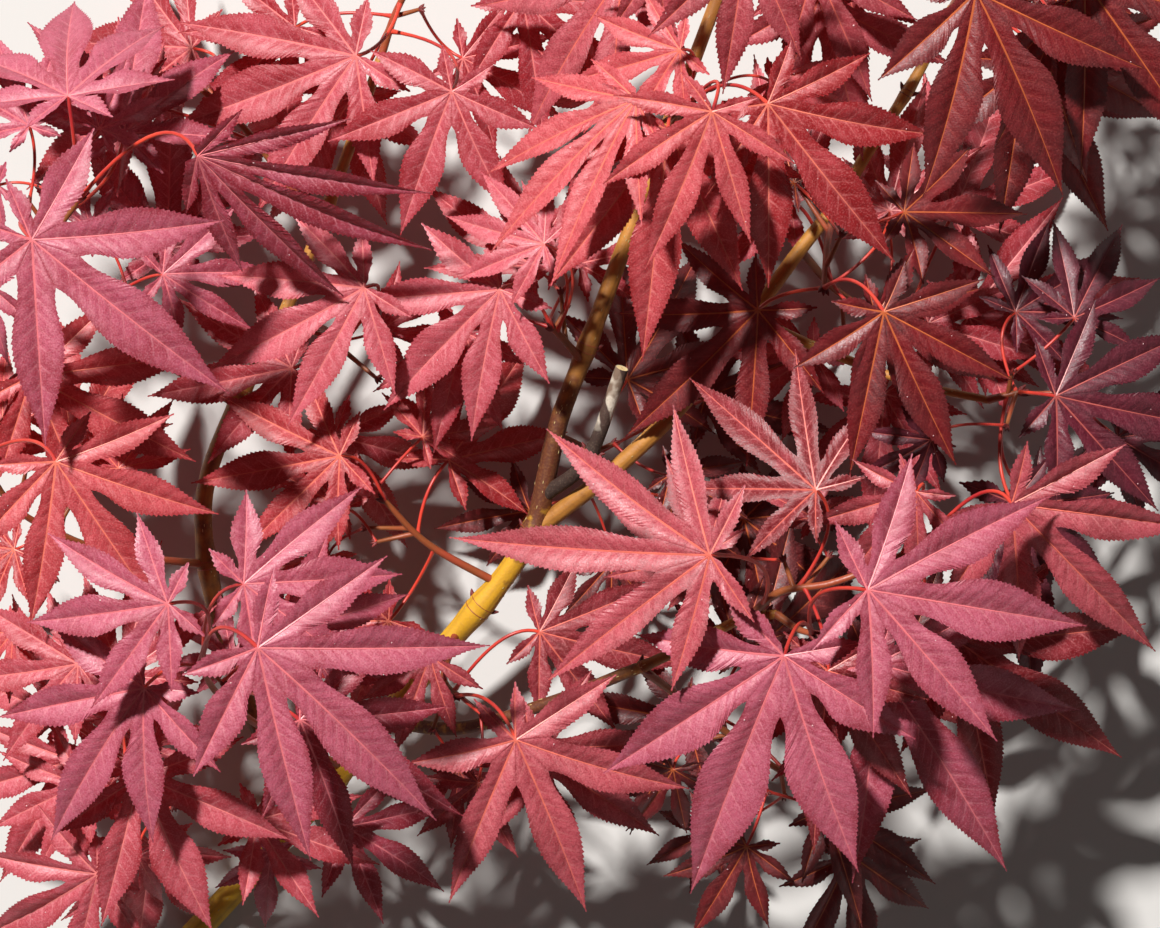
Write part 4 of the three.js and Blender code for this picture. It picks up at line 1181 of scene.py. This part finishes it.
def limb_mesh(limb, grown):
    """A limb as a closed tube with furrows, swollen nodes with rings, and ends that are sawn or rounded."""
    length = np.linalg.norm(np.diff(limb.line.points(np.linspace(0, 1, 60)), axis=0), axis=1).sum()
    shares = np.linspace(0, 1, int(length / RING_STEP))
    centres, across, tangents = frames_along(limb.line, shares)
    angles = np.linspace(0, 2 * math.pi, LIMB_SIDES, endpoint=False)
    furrow = furrows(limb, shares, length, angles)
    radius = np.array([limb.radius(s) for s in shares])[:, None] * (1 + FURROW_DEPTH * furrow)
    for at in limb.nodes:
        away = (shares[:, None] - at) * length
        ridge = NODE_RIDGE * np.exp(-((away - RIDGE_PLACE) / RIDGE_WIDTH)**2)
        radius = radius * (1 + ridge - NODE_RIDGE * np.exp(-(away / GROOVE_WIDTH)**2))
    other = np.cross(tangents, across)
    rim = across[:, None] * np.cos(angles)[None, :, None] + other[:, None] * np.sin(angles)[None, :, None]
    points = centres[:, None] + rim * radius[..., None]
    cut = CUT_ENDS.get(limb.name)
    caps, ends = [], []
    for i, way in ((0, -1), (-1, 1)):
        rise = 0.0 if i == cut else way * radius[i].mean()
        caps.append(centres[i] + rim[i] * radius[i][:, None] * CAP_RING + CAP_RISES[0] * rise * tangents[i])
        ends.append(centres[i] + CAP_RISES[1] * rise * tangents[i])
    points = np.concatenate([caps[:1], points, caps[1:]])
    points[..., 2] = np.maximum(points[..., 2], 0.0)
    shares = np.concatenate([shares[:1], shares, shares[-1:]])
    furrow = np.concatenate([furrow[:1], furrow, furrow[-1:]])
    count = len(shares)
    index = np.arange(count * LIMB_SIDES).reshape(count, LIMB_SIDES)
    turned = np.roll(index, -1, axis=1)
    quads = np.stack([index[:-1], turned[:-1], turned[1:], index[1:]], -1).reshape(-1, 4)
    middles = [np.full(LIMB_SIDES, index.size + i) for i in (0, 1)]
    tris = np.concatenate([np.stack([middles[0], turned[0], index[0]], -1),
                           np.stack([middles[1], index[-1], turned[-1]], -1)])
    mesh = mesh_of(limb.name + "_bark", np.concatenate([points.reshape(-1, 3), ends]), [quads, tris])
    where = between(grown, shares)
    winding = 0.5 + 0.5 * np.sin(angles[None] + WINDING * shares[:, None] * length)
    sawn, heart = np.zeros(index.shape), [0.0, 0.0]
    if cut is not None:
        sawn[cut], heart[cut] = 1.0, 2.0
    for label, rings, middle in (("grown", np.repeat(where, LIMB_SIDES), [where[0], where[-1]]),
                                 ("furrow", np.clip(-furrow, 0, 1), [0, 0]),
                                 ("winding", winding, [0, 0]), ("sawn", sawn, heart)):
        write_mark(mesh, label, np.concatenate([rings.ravel(), middle]))
    soften(mesh, 50)
    return mesh


# Where on the way from foot to tip a limb's bark stands, at its foot and at its end
GROWN = {
    "main_stem": (0.0, 0.85), "bough_right": (0.6, 0.8), "cut_stub": (0.0, 1.0), "bough_left": (0.5, 0.62),
    "bough_low_right": (0.3, 0.75), "bough_far_right": (0.7, 0.9),
}

bark = bark_finish()
stub_wood = stub_finish()
stalk_red = plain_finish("stalk_red", (204, 66, 46), (146, 24, 32), 60.0, 0.4)
shoot_red = plain_finish("shoot_red", (150, 62, 40), (122, 74, 34), 90.0, 0.45, 0.0001)
bud_brown = plain_finish("bud_brown", (120, 34, 30), (84, 22, 24), 700.0, 0.5, 0.0001)
dust_pale = plain_finish("dust_pale", (214, 176, 178), (196, 150, 152), 900.0, 0.9)
pale_speck = plain_finish("pale_speck", (186, 166, 112), (160, 138, 90), 900.0, 0.8)

for name, limb in limbs.items():
    wood, slot = (stub_wood, "cut_wood") if name == "cut_stub" else (bark, "bark")
    thing = new_object(name + "_bark", limb_mesh(limb, GROWN[name]), wood)
    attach(thing, "root")
    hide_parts(name)

# Leaves, ribs, stalks, shoots and twigs

leaf_finishes = {tint: leaf_finish(tint) for tint in TINTS}
rib_finishes = {
    tint: plain_finish("ribs_" + tint, colour, [c * 0.88 for c in colour], 200.0, 0.45)
    for tint, colour in RIB_TINTS.items()
}
RIB_RADIUS = (0.39, 0.1)  # for a leaf of this length
RIB_LEAF = 60
RIB_POINTS = 12
LOWEST_RIB = 1.4
STALK_RADIUS = 0.52
STALK_SWELLINGS = (0.75, 0.25)  # how much thicker a stalk is at its foot and under the blade
SWELLING_RUN = 0.05  # share of the stalk
STALK_SINK = 0.15  # how far its end is under the blade's upper face
RIB_SINK = 0.02
STALK_SHARES = np.linspace(0, 1, 14)
TWIG_SHARES = np.linspace(0, 1, 7)
SHOOT_STEPS = 8  # for each span of its path
# Painted shade: lower leaves get a deeper colour, as leaves below lie in shade.
HIGH_LEAVES, LOW_LEAVES = 90.0, 40.0  # between these heights the colour deepens
DUST_COUNT = 5
DUST_SIZE = (0.1, 0.26)
DUST_DEPTH = 0.07
TWIG_BUDS = 0.7  # size of a twig's buds beside those of a shoot
BUD_WIDTH, BUD_LENGTHS = 0.7, (2.1, 1.7)  # of the middle bud and of those beside it
BUD_OUT, BUD_ASIDE = 0.6, 0.7

rib_lines = {tint: [] for tint in TINTS}
stalk_lines, shoot_lines, twig_lines, ring_lines = [], [], [], []
bud_drops, dust_drops, speck_drops = [], [], []


def rib_line(rib, leaf):
    """A rib's tube on top of its lobe, from the foot almost to the tip."""
    pick = np.unique(np.linspace(0, len(rib) - 3, RIB_POINTS).round().astype(int))
    line = rib[pick] - RIB_SINK * leaf.up
    line[:, 2] = np.maximum(line[:, 2], LOWEST_RIB)
    return line, between(RIB_RADIUS, np.linspace(0, 1, len(pick))) * (leaf.length / RIB_LEAF)**0.5


def stalk_line(member):
    """A stalk's tube, thicker where it leaves the shoot and where it meets the blade."""
    start, bend, _ = member.stalk.ends
    foot, end = (STALK_SWELLINGS[i] * np.exp(-(away / SWELLING_RUN)**2)
                 for i, away in enumerate((STALK_SHARES, 1 - STALK_SHARES)))
    girth = STALK_RADIUS * (1 + (foot + end)) * min(1, (member.leaf.length / RIB_LEAF)**0.3)
    return Bow(start, bend, member.leaf.place(0, 0, -STALK_SINK)).points(STALK_SHARES), girth


def end_buds(line, scale):
    """The bud at the end of a shoot or twig, between two smaller ones."""
    end, aim = line[-1], unit(line[-1] - line[-2])
    sideways = unit(np.cross(aim, (0.3, 0.2, 1.0)))
    for lean in (-BUD_ASIDE, 0.0, BUD_ASIDE):
        bud_drops.append((end + (aim * BUD_OUT + sideways * lean) * scale, unit(aim + sideways * lean * 0.8),
                          np.array([BUD_WIDTH, BUD_WIDTH, BUD_LENGTHS[lean != 0]]) * scale))


def spray_mesh(spray):
    """All blades of a spray in one mesh. Their ribs, stalks and dust are put on the lists."""
    points, quads, tris, count = [], [], [], 0
    marks = {"vein": [], "rim": [], "under": [], "shade": []}
    for order, member in enumerate(spray.members):
        leaf = member.leaf
        rng = np.random.default_rng(leaf.serial + 7)
        # Painted shade: each leaf's depth of colour is a random share plus more for lower leaves, or the value
        # that SPECIAL gives.
        low_painted_shade = np.clip((HIGH_LEAVES - leaf.foot[2]) / (HIGH_LEAVES - LOW_LEAVES), 0, 1)
        slim, depth = SPECIAL.get(spray.name, {}).get(order, (1.0, rng.uniform() + low_painted_shade))
        places, own, (q, t), ribs, spots = blade_arrays(leaf, slim)
        own["shade"] = np.full(len(places), depth)
        for label, values in own.items():
            marks[label].append(values)
        points.append(places)
        quads.append(q + count)
        tris.append(t + count)
        count += len(places)
        for spot in rng.choice(spots, DUST_COUNT):
            dust_drops.append((spot, leaf.up, (*rng.uniform(*DUST_SIZE, 2), DUST_DEPTH)))
        rib_lines[spray.tint] += [rib_line(rib, leaf) for rib in ribs]
        stalk_lines.append(stalk_line(member))
    mesh = mesh_of(spray.name + "_leaves", np.concatenate(points), [np.concatenate(quads), np.concatenate(tris)])
    for label, values in marks.items():
        write_mark(mesh, label, np.concatenate(values))
    soften(mesh, 55)
    return mesh


for spray in sprays:
    thing = new_object(spray.name + "_leaves", spray_mesh(spray), leaf_finishes[spray.tint])
    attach(thing, "root")
    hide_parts(spray.name)
    "leaf_" + spray.tint
    shares = np.linspace(0, 1, SHOOT_STEPS * spray.path.spans + 1)
    shoot_lines.append((spray.path.points(shares), between(SHOOT_RADIUS, shares)))
    end_buds(shoot_lines[-1][0], 1.0)
    for twig in spray.twigs:
        twig_lines.append((twig.points(TWIG_SHARES), between(TWIG_RADIUS, TWIG_SHARES)))
        end_buds(twig_lines[-1][0], TWIG_BUDS)

# Rings round the nodes, buds on them, and specks on the bark

NODE_SPREAD = 0.004  # share of a limb from a node to each of its two rings
RING_SIDES = 28
RING_RADIUS = 0.16
NODE_BUD = (0.62, 0.62, 1.5)
SPECKS = 15  # for each span of a limb's path
SPECK_LENGTH = (0.3, 0.6)
SPECK_WIDTH = 0.14


def frame_at(path, share):
    (centre,), (side,), (tangent,) = frames_along(path, [share])
    return centre, side, tangent


def node_details(limb):
    """Two rings round each node, and a pair of buds on it."""
    turn = np.linspace(0, 2 * math.pi, RING_SIDES, endpoint=False)[:, None]
    for at in limb.nodes:
        for shift in (-NODE_SPREAD, NODE_SPREAD):
            centre, side, tangent = frame_at(limb.line, min(0.998, at + shift))
            around = np.cos(turn) * side + np.sin(turn) * np.cross(tangent, side)
            ring = centre + limb.radius(at + shift) * 0.985 * around
            ring_lines.append((ring, np.full(len(ring), RING_RADIUS), True))
        for way in (-1, 1):
            out = side * way
            bud_drops.append((centre + out * limb.radius(at) * 1.02, unit(out + tangent * 0.9), NODE_BUD))


def add_specks(limb, rng):
    for share in rng.uniform(0.02, 0.98, SPECKS * limb.path.spans):
        centre, side, tangent = frame_at(limb.line, share)
        turn = rng.uniform(0, 2 * math.pi)
        out = math.cos(turn) * side + math.sin(turn) * np.cross(tangent, side)
        size = (SPECK_WIDTH, SPECK_WIDTH, rng.uniform(*SPECK_LENGTH))
        speck_drops.append((centre + out * limb.radius(share) * 0.99, tangent, size))


for name, limb in limbs.items():
    node_details(limb)
    if name != "cut_stub":
        add_specks(limb, np.random.default_rng(len(name)))

small_things = [(tubes("ribs_" + tint, lines, 5, rib_finishes[tint]), "leaf_" + tint)
                for tint, lines in rib_lines.items()]
small_things += [
    (tubes("leaf_stalks", stalk_lines, 8, stalk_red), "leaf_coral"),
    (beads("dust_specks", dust_drops, 0.0, 6, 4, dust_pale), "leaf_rose"),
    (tubes("shoots", shoot_lines, 10, shoot_red), "bark"),
    (tubes("finer_twigs", twig_lines, 8, shoot_red), "bark"),
    (tubes("node_rings", ring_lines, 5, shoot_red), "bark"),
    (beads("bark_specks", speck_drops, 0.0, 6, 4, pale_speck), "bark"),
    (beads("buds", bud_drops, 0.45, 10, 8, bud_brown), "bark"),
]
for thing, slot in small_things:
    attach(thing, "root")

# Studio

FLOOR_SIZE = 6.0
ROOM_COLOUR, ROOM_LIGHT = (1.0, 0.92, 0.9, 1), 0.05


def add_floor():
    mesh = bpy.data.meshes.new("floor")
    half = FLOOR_SIZE / 2
    mesh.from_pydata([(-half, -half, 0), (half, -half, 0), (half, half, 0), (-half, half, 0)], [], [(0, 1, 2, 3)])
    floor = new_object("floor", mesh, plain_finish("pale_floor", (190, 189, 186), (184, 183, 180), 3.0, 0.8))


def add_lamp(name, place, size, power, colour, aim=(0, 0, 0.06)):
    lamp = bpy.data.lights.new(name, "AREA")
    lamp.shape = "DISK"
    lamp.size = size
    lamp.energy = power
    lamp.color = colour
    holder = link_object(name, lamp)
    holder.location = place
    holder.rotation_euler = (Vector(aim) - Vector(place)).to_track_quat("-Z", "Y").to_euler()


add_floor()
add_lamp("key", (-1.15, 1.6, 3.05), 0.26, 256.0, (1.0, 0.97, 0.95))
add_lamp("fill", (0.9, -0.9, 1.2), 1.2, 1.6, (1.0, 0.95, 0.93))
world = bpy.data.worlds.new("soft_room")
world.use_nodes = True
room = world.node_tree.nodes["Background"].inputs
room["Color"].default_value, room["Strength"].default_value = ROOM_COLOUR, ROOM_LIGHT
bpy.context.scene.world = world
bpy.context.scene.view_settings.view_transform = "Standard"
